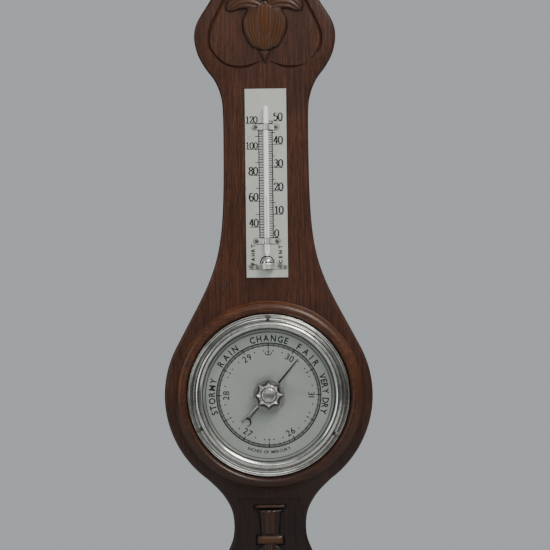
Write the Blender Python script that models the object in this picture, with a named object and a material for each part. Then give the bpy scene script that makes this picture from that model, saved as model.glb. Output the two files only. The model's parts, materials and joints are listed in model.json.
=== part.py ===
"""Banjo-shaped aneroid wall barometer with a thermometer: Blender 4.5, metres, +Z up.

The wall is the plane y = 0 and the front faces -Y. The origin is on the dial's axis, in the wall plane.
Everything is modelled in millimetres in the wall frame, where x runs right, y up and z away from the wall,
and the empty wall_frame turns that frame upright.
"""

import math

import bmesh
import bpy
from mathutils import Matrix

MM = 0.001
GAP = 0.3  # clearance kept between touching pieces
FULL_TURN = 2 * math.pi

# Depths: distances from the wall to the main planes
CASE_DEPTH = 28.0
SEAT = CASE_DEPTH + GAP  # whatever lies on the front of the case starts here
PLATE_FRONT = SEAT + 1.0
DIAL_BACK, DIAL_FRONT = 26.0, 27.0
GLASS_BACK, GLASS_FRONT = 34.0, 36.0
HAND_DEPTH = 29.1
SET_HAND_DEPTH = 32.2

# Case outline: right-hand half as (height above the dial's axis, half width); the round body is an arc
BODY_RADIUS = 104.0
BODY_ARC_TOP, BODY_ARC_FOOT = 49.0, -84.0
NECK_AND_HEAD = [
    (72, 79.5), (95, 67.3), (115, 58.0), (138, 50.3), (165, 45.6), (200, 43.3), (245, 42.6), (285, 42.9),
    (303, 45.4), (318, 51.5), (331, 61.0), (345, 68.3), (360, 70.9), (375, 67.7), (395, 55.5), (418, 42.0),
    (438, 32.0), (453, 22.0), (463, 10.5), (466, 0),
]
WAIST_AND_BASE = [
    (-94.5, 50.5), (-104.5, 43.0), (-116, 37.6), (-130, 35.8), (-144, 37.4), (-158, 43.0), (-172, 49.5),
    (-187, 52.5), (-202, 49.5), (-216, 39.5), (-227, 26.5), (-235, 13), (-238, 0),
]

# Dial, bezel and the case of the movement
BEZEL_RADIUS = 81.3
GLASS_RADIUS = 69.4
DIAL_RADIUS = 65.0
PAN_RADIUS = 66.3
BORE_RADIUS = 66.8
BEZEL_SCREW_CIRCLE = 78.2
BEZEL_SCREW_ANGLES = [0, 121, 244]  # clockwise from the top, in degrees
INCH_ANGLE = 60.0  # the hand turns 60 degrees for each inch of mercury
TOP_INCH = 29.5
READING = 30.16
REST_ANGLE = math.radians((READING - TOP_INCH) * INCH_ANGLE)
SET_HAND_ANGLE = math.radians(226.5)

# Movement
CAPSULE_CENTRE = (0.0, 18.0)
CAPSULE_RADIUS = 30.0
SPRING_AXIS = (41.0, 18.0)  # height and depth of the bend that the main spring flexes about
ROCKER_AXIS = (-30.0, 7.0)
CHAIN_ARM = 13.0
CRANK_ARM = 3.0
PULLEY_RADIUS = 2.2
ARBOR_RADIUS = 1.0
MIDDLE_INCH = 28.5  # the reading at which the chain arm stands square to the dial
ROCKER_REST = math.radians((READING - MIDDLE_INCH) * INCH_ANGLE) * PULLEY_RADIUS / CHAIN_ARM
TOP_PLATE_BACK, TOP_PLATE_FRONT = 23.0, 24.2
PILLARS = [(34, -22), (-34, -22), (0, -50)]
BASE_SCREW_CIRCLE = 52.0
BASE_SCREW_ANGLES = [10, 130, 250]
ADJUSTER = (-12.0, 53.0)

# Thermometer
THERMOMETER_FOOT, THERMOMETER_TOP = 117.5, 306.7
THERMOMETER_HALF_WIDTH = 20.8
TUBE_RADIUS = 2.5
TUBE_DEPTH = PLATE_FRONT + GAP + TUBE_RADIUS
TUBE_FOOT, TUBE_TOP = 139.0, 289.4
BULB_HEIGHT, BULB_RADIUS, BULB_DEPTH = 132.2, 6.3, 31.2
CLIP_HEIGHTS = [268.3, 154.0]
CLIP_PIN_X = 10.2

# Hanging plate, sunk in the back of the head
HANGER_FOOT, HANGER_TOP, HANGER_HALF_WIDTH = 393.0, 437.0, 9.0
HANGER_BACK, HANGER_FRONT = 1.2, 2.7
KEYHOLE_HEIGHT = 420.0
HANGER_SCREWS = [(-5.5, 400.0), (5.5, 400.0)]

ROUND_STEPS = 64
SMALL_STEPS = 16


def clear_scene():
    for obj in list(bpy.data.objects):
        bpy.data.objects.remove(obj)


def material(name, colour, roughness, metallic=0.0, alpha=1.0):
    made = bpy.data.materials.new(name)
    made.use_nodes = True
    shader = made.node_tree.nodes["Principled BSDF"]
    shader.inputs["Base Color"].default_value = (*colour, 1)
    shader.inputs["Roughness"].default_value = roughness
    shader.inputs["Metallic"].default_value = metallic
    shader.inputs["Alpha"].default_value = alpha
    return made


def empty(name, parent=None, location=(0, 0, 0), rotation=(0, 0, 0)):
    made = bpy.data.objects.new(name, None)
    bpy.context.scene.collection.objects.link(made)
    made.parent = parent
    made.location = [value * MM for value in location]
    made.rotation_euler = rotation
    return made


def add(name, bm, finish, parent, location=(0, 0, 0), rotation=(0, 0, 0)):
    """Turns a bmesh in millimetres into a named object in metres."""
    bmesh.ops.recalc_face_normals(bm, faces=bm.faces)
    bm.transform(Matrix.Scale(MM, 4))
    mesh = bpy.data.meshes.new(name)
    bm.to_mesh(mesh)
    bm.free()
    mesh.materials.append(finish)
    mesh.shade_smooth()
    mesh.set_sharp_from_angle(angle=math.radians(35))
    made = bpy.data.objects.new(name, mesh)
    bpy.context.scene.collection.objects.link(made)
    made.parent = parent
    made.location = [value * MM for value in location]
    made.rotation_euler = rotation
    return made


def combine(target, operation, bm, location=(0, 0, 0), rotation=(0, 0, 0)):
    """Cuts a helper shape from the target, or joins it on, with an exact Boolean."""
    name = f"{target.name}_{operation.lower()}_{len(target.modifiers)}"
    helper = add(name, bm, target.data.materials[0], target.parent, location, rotation)
    helper.hide_render = True
    helper.display_type = "WIRE"
    modifier = target.modifiers.new(name, "BOOLEAN")
    modifier.operation = operation
    modifier.object = helper
    modifier.solver = "EXACT"


# ---------------------------------------------------------------- shapes


def turned(profile, steps=ROUND_STEPS):
    """A solid of revolution about z. A profile that starts and ends at radius 0 is open along the axis."""
    bm = bmesh.new()
    verts = [bm.verts.new((radius, 0, z)) for radius, z in profile]
    edges = [bm.edges.new(pair) for pair in zip(verts, verts[1:])]
    if profile[0][0] > 0 or profile[-1][0] > 0:
        edges.append(bm.edges.new((verts[-1], verts[0])))
    bmesh.ops.spin(
        bm, geom=verts + edges, cent=(0, 0, 0), axis=(0, 0, 1), angle=FULL_TURN, steps=steps, use_merge=True
    )
    bmesh.ops.remove_doubles(bm, verts=bm.verts, dist=1e-3)
    return bm


def prism(outline, low, high, along="z"):
    """An outline extruded from low to high. It holds (x, y) along z, (y, z) along x and (x, z) along y."""
    place = {
        "z": lambda a, b: (a, b, low),
        "x": lambda a, b: (low, a, b),
        "y": lambda a, b: (a, low, b),
    }[along]
    step = {"z": (0, 0, high - low), "x": (high - low, 0, 0), "y": (0, high - low, 0)}[along]
    bm = bmesh.new()
    face = bm.faces.new([bm.verts.new(place(a, b)) for a, b in outline])
    moved = bmesh.ops.extrude_face_region(bm, geom=[face])["geom"]
    bmesh.ops.translate(bm, vec=step, verts=[item for item in moved if isinstance(item, bmesh.types.BMVert)])
    return bm


def box(x, y, z):
    """A block from pairs of lowest and highest values."""
    return prism([(x[0], y[0]), (x[1], y[0]), (x[1], y[1]), (x[0], y[1])], *z)


def stacked(loops):
    """A closed solid through loops that all have the same number of points."""
    bm = bmesh.new()
    rings = [[bm.verts.new(point) for point in loop] for loop in loops]
    bm.faces.new(rings[0])
    bm.faces.new(rings[-1])
    for lower, upper in zip(rings, rings[1:]):
        for i in range(len(lower)):
            j = (i + 1) % len(lower)
            bm.faces.new((lower[i], lower[j], upper[j], upper[i]))
    return bm


def drill(*holes, steps=SMALL_STEPS):
    """Cylinders along z, each given as (x, y, radius, low, high), in one mesh."""
    bm = bmesh.new()
    for x, y, radius, low, high in holes:
        bmesh.ops.create_cone(
            bm, cap_ends=True, segments=steps, radius1=radius, radius2=radius, depth=high - low,
            matrix=Matrix.Translation((x, y, (low + high) / 2)),
        )
    return bm


def arc(centre, radius, start, end, count):
    """Points on an arc, with angles in degrees counterclockwise from +x."""
    angles = [math.radians(start + (end - start) * i / count) for i in range(count + 1)]
    return [(centre[0] + radius * math.cos(a), centre[1] + radius * math.sin(a)) for a in angles]


def smooth(points, steps=3):
    """A Catmull-Rom curve through the points, with their ends kept."""
    ends = [points[0]] + points + [points[-1]]
    curve = []
    for p0, p1, p2, p3 in zip(ends, ends[1:], ends[2:], ends[3:]):
        for i in range(steps):
            t = i / steps
            curve.append(tuple(
                0.5 * (2 * b + (c - a) * t + (2 * a - 5 * b + 4 * c - d) * t**2 + (3 * b - a - 3 * c + d) * t**3)
                for a, b, c, d in zip(p0, p1, p2, p3)
            ))
    return curve + [points[-1]]


def clockwise(angle, radius):
    """The point at this many degrees clockwise from the top."""
    return radius * math.sin(math.radians(angle)), radius * math.cos(math.radians(angle))


def mirrored(half):
    """A closed outline from its right-hand half, which runs from the top point to the foot point."""
    return half + [(-x, y) for x, y in reversed(half[1:-1])]


# ---------------------------------------------------------------- wooden case


def case_outline():
    """The banjo outline: head, neck, round body, waist and base."""
    body = [
        (height, math.sqrt(BODY_RADIUS**2 - height**2))
        for height in (BODY_ARC_TOP + (BODY_ARC_FOOT - BODY_ARC_TOP) * i / 14 for i in range(15))
    ]
    stations = list(reversed(NECK_AND_HEAD)) + [body[0]]
    lower = [body[-1]] + WAIST_AND_BASE
    curve = smooth(stations, 2) + body[1:-1] + smooth(lower, 2)
    return mirrored([(width, height) for height, width in curve])


def round_front_edge(bm, depth, offset):
    """Rounds the rim of the front face."""
    rim = [
        edge for edge in bm.edges
        if all(abs(vert.co.z - depth) < 1e-4 for vert in edge.verts)
    ]
    bmesh.ops.bevel(bm, geom=rim, offset=offset, segments=2, profile=0.5, affect="EDGES")


def screw(name, head_radius, head_height, shank_radius, shank_length, finish, parent, location, rotation=(0, 0, 0)):
    """A domed screw whose shank runs down from z = 0 and whose head stands up from it."""
    profile = [
        (0, -shank_length), (shank_radius, -shank_length + shank_radius), (shank_radius, 0), (head_radius, 0),
        (head_radius, head_height * 0.35), (head_radius * 0.8, head_height * 0.8),
        (head_radius * 0.4, head_height), (0, head_height),
    ]
    return add(name, turned(profile, 12), finish, parent, location, rotation)


def make_case(frame, wood):
    bm = prism(case_outline(), 0, CASE_DEPTH)
    round_front_edge(bm, CASE_DEPTH, 2.5)
    case = add("case_body", bm, wood, frame)
    combine(case, "DIFFERENCE", drill((0, 0, BORE_RADIUS, -1, CASE_DEPTH + 1), steps=ROUND_STEPS))
    hanger_recess = box(
        (-HANGER_HALF_WIDTH - GAP, HANGER_HALF_WIDTH + GAP), (HANGER_FOOT - GAP, HANGER_TOP + GAP),
        (-1, HANGER_FRONT + GAP),
    )
    combine(case, "DIFFERENCE", hanger_recess)
    pocket = drill((0, KEYHOLE_HEIGHT + 3, 8.5, 1, 11), steps=24)
    combine(case, "DIFFERENCE", pocket)
    pilots = [(*clockwise(angle, BEZEL_SCREW_CIRCLE), 1.4, 16, 29) for angle in BEZEL_SCREW_ANGLES]
    pilots += [(x, y, 1.6, 1, 12) for x, y in HANGER_SCREWS]
    pilots += [(side * CLIP_PIN_X, y, 1.1, 21, 29) for y in CLIP_HEIGHTS for side in (-1, 1)]
    combine(case, "DIFFERENCE", drill(*pilots, steps=8))
    combine(case, "DIFFERENCE", drill((0, BULB_HEIGHT, BULB_RADIUS + 1.5, 23, 29), steps=24))

    moulding = [(82.2, SEAT), (94.3, SEAT), (94.3, 29.6), (93.6, 31.8), (91.9, 33.6), (89.6, 34.7),
                (87.2, 34.9), (85.0, 34.4), (83.3, 33.1), (82.4, 31.2)]
    add("dial_moulding", turned(moulding), wood, frame)


def make_carvings(frame, wood):
    """Applied carvings: the hanging bud and its leaves on the head, and the fluted husk on the base."""
    crest = smooth([
        (0, 437), (11, 432), (20, 420), (25, 409), (35, 402), (39, 393), (36, 384), (27, 381.5), (18.5, 384),
        (17, 374), (17.3, 364), (15.8, 356), (12, 350), (6.5, 346.6), (0, 345.8),
    ], 2)
    husk = [
        (0, -109), (17, -109), (17, -113.5), (11, -118), (9.8, -137), (13.8, -140), (14.2, -145), (13, -150),
        (11, -152), (15, -163), (17.5, -176), (16, -190), (11, -202), (0, -212),
    ]
    for name, half, middle in (("crest_carving", crest, 388), ("base_carving", husk, -160)):
        outline = mirrored(half)
        loops = [
            [(x * scale, middle + (y - middle) * (0.5 + scale / 2), z) for x, y in outline]
            for scale, z in ((1.0, SEAT), (0.97, SEAT + 3.2), (0.82, SEAT + 5.6))
        ]
        add(name, stacked(loops), wood, frame)
    drop = [(5.6, 345.0), (-5.6, 345.0), (0, 333.5)]
    centre_y = 341.0
    loops = [
        [(x * scale, centre_y + (y - centre_y) * scale, z) for x, y in drop]
        for scale, z in ((1.0, SEAT), (0.9, SEAT + 1.6), (0.25, SEAT + 3.2))
    ]
    add("crest_drop", stacked(loops), wood, frame)


def make_hanger(frame, brass, steel):
    corner = 4.0
    left, right = -HANGER_HALF_WIDTH, HANGER_HALF_WIDTH
    outline = (
        arc((right - corner, HANGER_FOOT + corner), corner, -90, 0, 3)
        + arc((0, HANGER_TOP - right), right, 0, 180, 12)
        + arc((left + corner, HANGER_FOOT + corner), corner, 180, 270, 3)
    )
    plate = add("hanging_plate", prism(outline, HANGER_BACK, HANGER_FRONT), brass, frame)
    keyhole = (
        arc((0, KEYHOLE_HEIGHT), 4.6, 150, 390, 16)
        + arc((0, KEYHOLE_HEIGHT + 8), 2.3, 0, 180, 8)
    )
    combine(plate, "DIFFERENCE", prism(keyhole, 0, 4))
    combine(plate, "DIFFERENCE", drill(*[(x, y, 1.6, 0, 4) for x, y in HANGER_SCREWS], steps=8))
    for i, (x, y) in enumerate(HANGER_SCREWS, 1):
        screw(f"hanging_screw_{i}", 2.6, 0.8, 1.2, 9, steel, frame, (x, y, HANGER_BACK - GAP), (math.pi, 0, 0))


# ---------------------------------------------------------------- dial and bezel


def make_bezel(frame, chrome, glass_finish, silver, brass, steel):
    bezel_profile = [
        (BEZEL_RADIUS, SEAT), (BEZEL_RADIUS, 30.3), (80.7, 31.0), (80.0, 30.8), (75.6, 30.8), (75.2, 33.0),
        (74.2, 35.3), (72.4, 36.9), (70.4, 37.4), (68.6, 37.1), (67.3, 36.3), (69.8, 36.3), (69.8, 29.2),
        (74.6, 29.2), (74.6, SEAT),
    ]
    bezel = add("bezel", turned(bezel_profile), chrome, frame)
    holes = [(*clockwise(angle, BEZEL_SCREW_CIRCLE), 1.4, 27, 32) for angle in BEZEL_SCREW_ANGLES]
    combine(bezel, "DIFFERENCE", drill(*holes, steps=8))
    for i, angle in enumerate(BEZEL_SCREW_ANGLES, 1):
        screw(f"bezel_screw_{i}", 2.3, 1.4, 1.0, 14, steel, frame, (*clockwise(angle, BEZEL_SCREW_CIRCLE), 31.1))

    glass = [
        (2.2, GLASS_BACK), (GLASS_RADIUS, GLASS_BACK), (GLASS_RADIUS, GLASS_FRONT - 1.0), (63.5, GLASS_FRONT),
        (2.2, GLASS_FRONT),
    ]
    add("glass", turned(glass), glass_finish, frame)
    sight = [(62.8, 27.4), (63.6, 27.4), (GLASS_RADIUS, 33.2), (GLASS_RADIUS, 33.7), (68.6, 33.7)]
    add("sight_ring", turned(sight), silver, frame)
    dial = [(2.6, DIAL_BACK), (DIAL_RADIUS, DIAL_BACK), (DIAL_RADIUS, DIAL_FRONT), (2.6, DIAL_FRONT)]
    add("dial_plate", turned(dial), silver, frame)
    seat = [(61, 22.5), (DIAL_RADIUS, 22.5), (DIAL_RADIUS, DIAL_BACK - GAP), (61, DIAL_BACK - GAP)]
    add("dial_seat_ring", turned(seat), brass, frame)


def make_pan(frame, brass):
    """The cup that holds the movement in the bore of the case, clamped by its flange under the bezel."""
    pan_profile = [
        (0, 0), (PAN_RADIUS, 0), (PAN_RADIUS, SEAT), (74, SEAT), (74, SEAT + 0.6), (DIAL_RADIUS + 0.5, SEAT + 0.6),
        (DIAL_RADIUS + 0.5, 1), (0, 1),
    ]
    pan = add("movement_pan", turned(pan_profile), brass, frame)
    holes = [(*ADJUSTER, 3.2, -1, 2)]
    holes += [(*clockwise(angle, BASE_SCREW_CIRCLE), 1.8, -1, 2) for angle in BASE_SCREW_ANGLES]
    combine(pan, "DIFFERENCE", drill(*holes))


# ---------------------------------------------------------------- hands


def indicating_hand_outline():
    """A fine pointer towards +y and a crescent tail, with its horns pointing away from the hub."""
    hub, tip, tail_end, tail_half = 3.0, 46.6, -30.4, 0.5
    crescent_y, outer, inner, horn = -34.7, 4.6, 3.5, 42
    tip_side = [(0.25, tip), (0.9, 2.9)]
    hub_side = arc((0, 0), hub, 60, -75, 6)
    tail_side = [(tail_half, -hub), (tail_half, tail_end)]
    outside = arc((0, crescent_y), outer, 78, -90 + horn, 8)
    inside = arc((0, crescent_y - 0.8), inner, -90 + horn, 90, 6)
    return mirrored_about_y(tip_side + hub_side + tail_side + outside + inside)


def mirrored_about_y(half):
    """A closed outline from its right-hand half, whose last point may lie on the y axis."""
    left = [(-x, y) for x, y in reversed(half)]
    return half + (left[1:] if abs(half[-1][0]) < 1e-6 else left)


def make_indicating_hand(frame, blued, brass):
    """The arbor with its chain pulley and the hand, turned together about the dial's axis."""
    axis = empty("hand_axis", frame, rotation=(0, 0, -REST_ANGLE))
    hand = add("indicating_hand", prism(indicating_hand_outline(), HAND_DEPTH, HAND_DEPTH + 0.5), blued, axis)
    pipe = turned([(0, HAND_DEPTH - 0.6), (2.2, HAND_DEPTH - 0.6), (2.2, HAND_DEPTH + 1), (0, HAND_DEPTH + 1)], 24)
    combine(hand, "UNION", pipe)
    combine(hand, "DIFFERENCE", drill((0, 0, ARBOR_RADIUS + GAP, 28, 31)))
    arbor = [
        (0, 13.3), (0.7, 13.3), (0.7, 14.9), (1.8, 14.9), (1.8, 17.6), (ARBOR_RADIUS, 17.6), (ARBOR_RADIUS, 30.6),
        (0.6, 31), (0, 31),
    ]
    add("arbor", turned(arbor, 16), brass, axis)
    bore, flange = ARBOR_RADIUS + GAP, PULLEY_RADIUS + 1
    pulley = [
        (bore, 18.9), (flange, 18.9), (flange, 19.4), (PULLEY_RADIUS, 19.4), (PULLEY_RADIUS, 20.6),
        (flange, 20.6), (flange, 21.1), (bore, 21.1),
    ]
    add("chain_pulley", turned(pulley, 24), brass, axis)


def fluted_radius(angle, flutes, point, valley):
    """Radius of a knob with concave flutes between points, at an angle from one of the points."""
    half = math.pi / flutes
    chord_half = point * math.sin(half)
    sagitta = point * math.cos(half) - valley
    flute = (chord_half**2 + sagitta**2) / (2 * sagitta)
    centre = valley + flute
    offset = (angle % (2 * half)) - half
    return centre * math.cos(offset) - math.sqrt(max(flute**2 - (centre * math.sin(offset)) ** 2, 0))


def knob_loop(count, z, radius=None, point=None, valley=None):
    loop = []
    for i in range(count):
        angle = FULL_TURN * i / count
        r = radius or fluted_radius(angle, 8, point, valley)
        loop.append((r * math.sin(angle), r * math.cos(angle), z))
    return loop


def make_set_hand(frame, chrome):
    """The marker that is set by the fluted knob in front of the glass, on a spindle through the glass."""
    axis = empty("set_hand_axis", frame, rotation=(0, 0, -SET_HAND_ANGLE))
    hub = arc((0, 0), 3.6, 66, -246, 14)
    set_hand = add(
        "set_hand", prism([(0.3, 38.2)] + hub + [(-0.3, 38.2)], SET_HAND_DEPTH, SET_HAND_DEPTH + 0.6), chrome, axis
    )
    combine(set_hand, "DIFFERENCE", drill((0, 0, 1.9, 31, 34)))
    add("set_spindle", turned([(0, 31.4), (1.6, 31.4), (1.6, 36.1), (0, 36.1)], 16), chrome, axis)
    count = 64
    loops = [
        knob_loop(count, 36.4, radius=15.2), knob_loop(count, 36.7, radius=15.6), knob_loop(count, 37.3, radius=15.4),
        knob_loop(count, 37.6, point=15.2, valley=10.6), knob_loop(count, 40.2, point=14.2, valley=9.8),
        knob_loop(count, 40.8, point=12.6, valley=9.0), knob_loop(count, 40.8, radius=7.1),
        knob_loop(count, 43.2, radius=6.9), knob_loop(count, 44.0, radius=5.6),
    ]
    add("set_knob", stacked(loops), chrome, axis, rotation=(0, 0, SET_HAND_ANGLE))


# ---------------------------------------------------------------- movement


def make_base(frame, brass, steel):
    base = add("base_plate", turned([(0, 1.3), (60, 1.3), (60, 3.3), (0, 3.3)], 48), brass, frame)
    holes = [(*ADJUSTER, 2.3, 0, 5), (*CAPSULE_CENTRE, 2.9, 0, 5)]
    holes += [(*clockwise(angle, BASE_SCREW_CIRCLE), 1.8, 0, 5) for angle in BASE_SCREW_ANGLES]
    combine(base, "DIFFERENCE", drill(*holes))
    for i, angle in enumerate(BASE_SCREW_ANGLES, 1):
        screw(f"base_screw_{i}", 3.0, 1.8, 1.5, 3.3, steel, frame, (*clockwise(angle, BASE_SCREW_CIRCLE), 3.6))


def make_capsule(frame, nickel, brass):
    """The corrugated vacuum box on its threaded stud, and the post that follows its lid."""
    middle, waves, wave_height = 9.0, 4, 0.45
    ripple = [
        (7 + 21 * i / (2 * waves), wave_height * (1 if i % 2 else -1)) for i in range(2 * waves + 1)
    ]
    under = [(radius, middle - 2.6 + height) for radius, height in ripple]
    over = [(radius, middle + 2.6 + height) for radius, height in reversed(ripple)]
    profile = (
        [(0, 1.5), (2.6, 1.5), (2.6, 5.9), (6, 5.9)] + under
        + [(CAPSULE_RADIUS, middle - 0.8), (CAPSULE_RADIUS, middle + 0.8)] + over + [(5, 12), (0, 12)]
    )
    add("vacuum_capsule", turned(profile, 40), nickel, frame, (*CAPSULE_CENTRE, 0))
    nut = prism(arc((0, 0), 5.2, 0, 300, 5), 3.6, 5.6)
    nut_node = add("capsule_nut", nut, brass, frame, (*CAPSULE_CENTRE, 0))
    combine(nut_node, "DIFFERENCE", drill((0, 0, 2.9, 3, 7)), (*CAPSULE_CENTRE, 0))

    post_axis = empty("post_axis", frame, (*CAPSULE_CENTRE, 0))
    post = [(0, 12.3), (3.2, 12.3), (3.2, 13.2), (1.6, 13.6), (1.6, 17.9), (0, 17.9)]
    add("capsule_post", turned(post, 16), brass, post_axis)
    add("knife_edge", prism([(-1.2, 18.2), (1.2, 18.2), (0, 19.1)], -5, 5, "x"), nickel, post_axis)


def make_spring(frame, steel, iron):
    """The bridge over the capsule, and the C-shaped spring with the lever that rides on it."""
    portal = [
        (-37.5, 3.6), (-33.5, 3.6), (-33.5, 13), (33.5, 13), (33.5, 3.6), (37.5, 3.6), (37.5, 15.5), (-37.5, 15.5)
    ]
    bridge = add("spring_bridge", prism(portal, 28, 40, "y"), iron, frame)
    combine(bridge, "UNION", box((ADJUSTER[0] - 4, ADJUSTER[0] + 4), (38, ADJUSTER[1] + 4), (13, 15.5)))

    height, depth = SPRING_AXIS
    axis = empty("lever_axis", frame, (0, height, depth))
    thick, bend = 0.8, 1.4
    spring = (
        [(29 - height, -bend - thick)] + arc((0, 0), bend + thick, -90, 90, 8) + [(15 - height, bend + thick)]
        + [(15 - height, bend)] + arc((0, 0), bend, 90, -90, 8) + [(29 - height, -bend)]
    )
    add("main_spring", prism(spring, -13, 13, "x"), steel, axis)
    lever = [(34, 20.5), (34, 21.3), (14, 21.3), (-20, 19.2), (-37, 19.2), (-37, 18.4), (-20, 18.4), (14, 20.5)]
    add("main_lever", prism([(y - height, z - depth) for y, z in lever], 8, 12, "x"), steel, axis)


def make_regulator(frame, brass, steel):
    """The frame that carries the rocking shaft and the arbor's lower pivot, the link and the chain."""
    height, depth = ROCKER_AXIS
    cradle = [
        (-22, 3.6), (22, 3.6), (22, 9.5), (19, 9.5), (19, 4.6), (-19, 4.6), (-19, 9.5), (-22, 9.5)
    ]
    regulator = add("regulator_frame", prism(cradle, height - 4, height + 4, "y"), brass, frame)
    cock = [(-27, 3.6), (-18, 3.6), (-18, 13), (5, 13), (5, 14.5), (-21, 14.5), (-21, 4.6), (-27, 4.6)]
    combine(regulator, "UNION", prism(cock, -5, 5, "x"))
    combine(regulator, "UNION", drill((0, -8.2, 0.6, 14, 17.6)))
    pivot_holes = drill((0, 0, 1.1, -23, 23), steps=12)
    combine(regulator, "DIFFERENCE", pivot_holes, (0, height, depth), (0, math.pi / 2, 0))
    combine(regulator, "DIFFERENCE", drill((0, 0, 1.0, 12, 16)))

    axis = empty("rocker_axis", frame, (0, height, depth), (ROCKER_REST, 0, 0))
    shaft = [(0, -21.6), (0.8, -21.6), (0.8, -18.7), (1.2, -18.7), (1.2, 18.7), (0.8, 18.7), (0.8, 21.6), (0, 21.6)]
    rocker = add("rocking_shaft", turned(shaft, 12), steel, axis, rotation=(0, math.pi / 2, 0))
    chain_x = PULLEY_RADIUS + GAP + 0.25
    combine(rocker, "UNION", box((chain_x - 0.6, chain_x + 0.6), (-0.5, 0.5), (0, CHAIN_ARM)))
    combine(rocker, "UNION", box((9, 11), (-CRANK_ARM - 0.5, 0), (-0.6, 0.6)))

    crank_y = height - CRANK_ARM * math.cos(ROCKER_REST)
    crank_z = depth - CRANK_ARM * math.sin(ROCKER_REST)
    link = empty("link_axis", frame, (10, crank_y, 0))
    add("link_rod", drill((0, 0, 0.5, crank_z + 0.9 + GAP, 18.1), steps=8), steel, link)

    chain = empty("chain_axis", frame, (chain_x, 0, 20))
    arm_tip = height - CHAIN_ARM * math.sin(ROCKER_REST) + 0.5
    links = 26
    pitch = (1.0 - arm_tip - 2 * GAP) / (2 * links)
    edge = [(0.25 if i % 2 else 0.14, arm_tip + GAP + pitch * i) for i in range(2 * links + 1)]
    outline = edge + [(-x, y) for x, y in reversed(edge)]
    add("drive_chain", prism(outline, -0.3, 0.3), steel, chain)


def make_hairspring(frame, steel):
    turns, inner, outer, thick, per_turn = 4, 2.1, 7.2, 0.25, 18
    count = turns * per_turn
    spiral = [
        (inner + (outer - inner) * i / count, FULL_TURN * turns * i / count - math.pi / 2) for i in range(count + 1)
    ]
    outside = [((r + thick) * math.cos(a), (r + thick) * math.sin(a)) for r, a in spiral]
    inside = [(r * math.cos(a), r * math.sin(a)) for r, a in reversed(spiral)]
    add("hairspring", prism(outside + inside, 16.4, 17.4), steel, frame)


def make_top_plate(frame, brass):
    outline = [(7, 7), (38, -17), (38, -27), (7, -54)]
    outline += [(-x, y) for x, y in reversed(outline)]
    plate = add("top_plate", prism(outline, TOP_PLATE_BACK, TOP_PLATE_FRONT), brass, frame)
    holes = [(0, 0, ARBOR_RADIUS + GAP, 22, 26)] + [(x, y, 1.3, 22, 26) for x, y in PILLARS]
    combine(plate, "DIFFERENCE", drill(*holes))
    post = [(0, 3.6), (2.2, 3.6), (2.2, 22.7), (1.0, 22.7), (1.0, 25.6), (0, 25.6)]
    for i, (x, y) in enumerate(PILLARS, 1):
        add(f"top_plate_pillar_{i}", turned(post, 16), brass, frame, (x, y, 0))
        nut = add(f"pillar_nut_{i}", prism(arc((0, 0), 2.5, 0, 300, 5), 24.5, 25.5), brass, frame, (x, y, 0))
        combine(nut, "DIFFERENCE", drill((0, 0, 1.3, 24, 26), steps=12), (x, y, 0))


def make_adjuster(frame, steel):
    """The pressure adjusting screw, reached with a screwdriver through the back of the pan."""
    axis = empty("adjuster_axis", frame, (*ADJUSTER, 0))
    rod = turned([(0, 0.4), (2.0, 0.4), (2.0, 11.6), (1.0, 12.6), (0, 12.6)], 16)
    adjuster = add("adjusting_screw", rod, steel, axis)
    combine(adjuster, "DIFFERENCE", box((-0.4, 0.4), (-3, 3), (0, 1.4)))


# ---------------------------------------------------------------- thermometer


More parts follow.
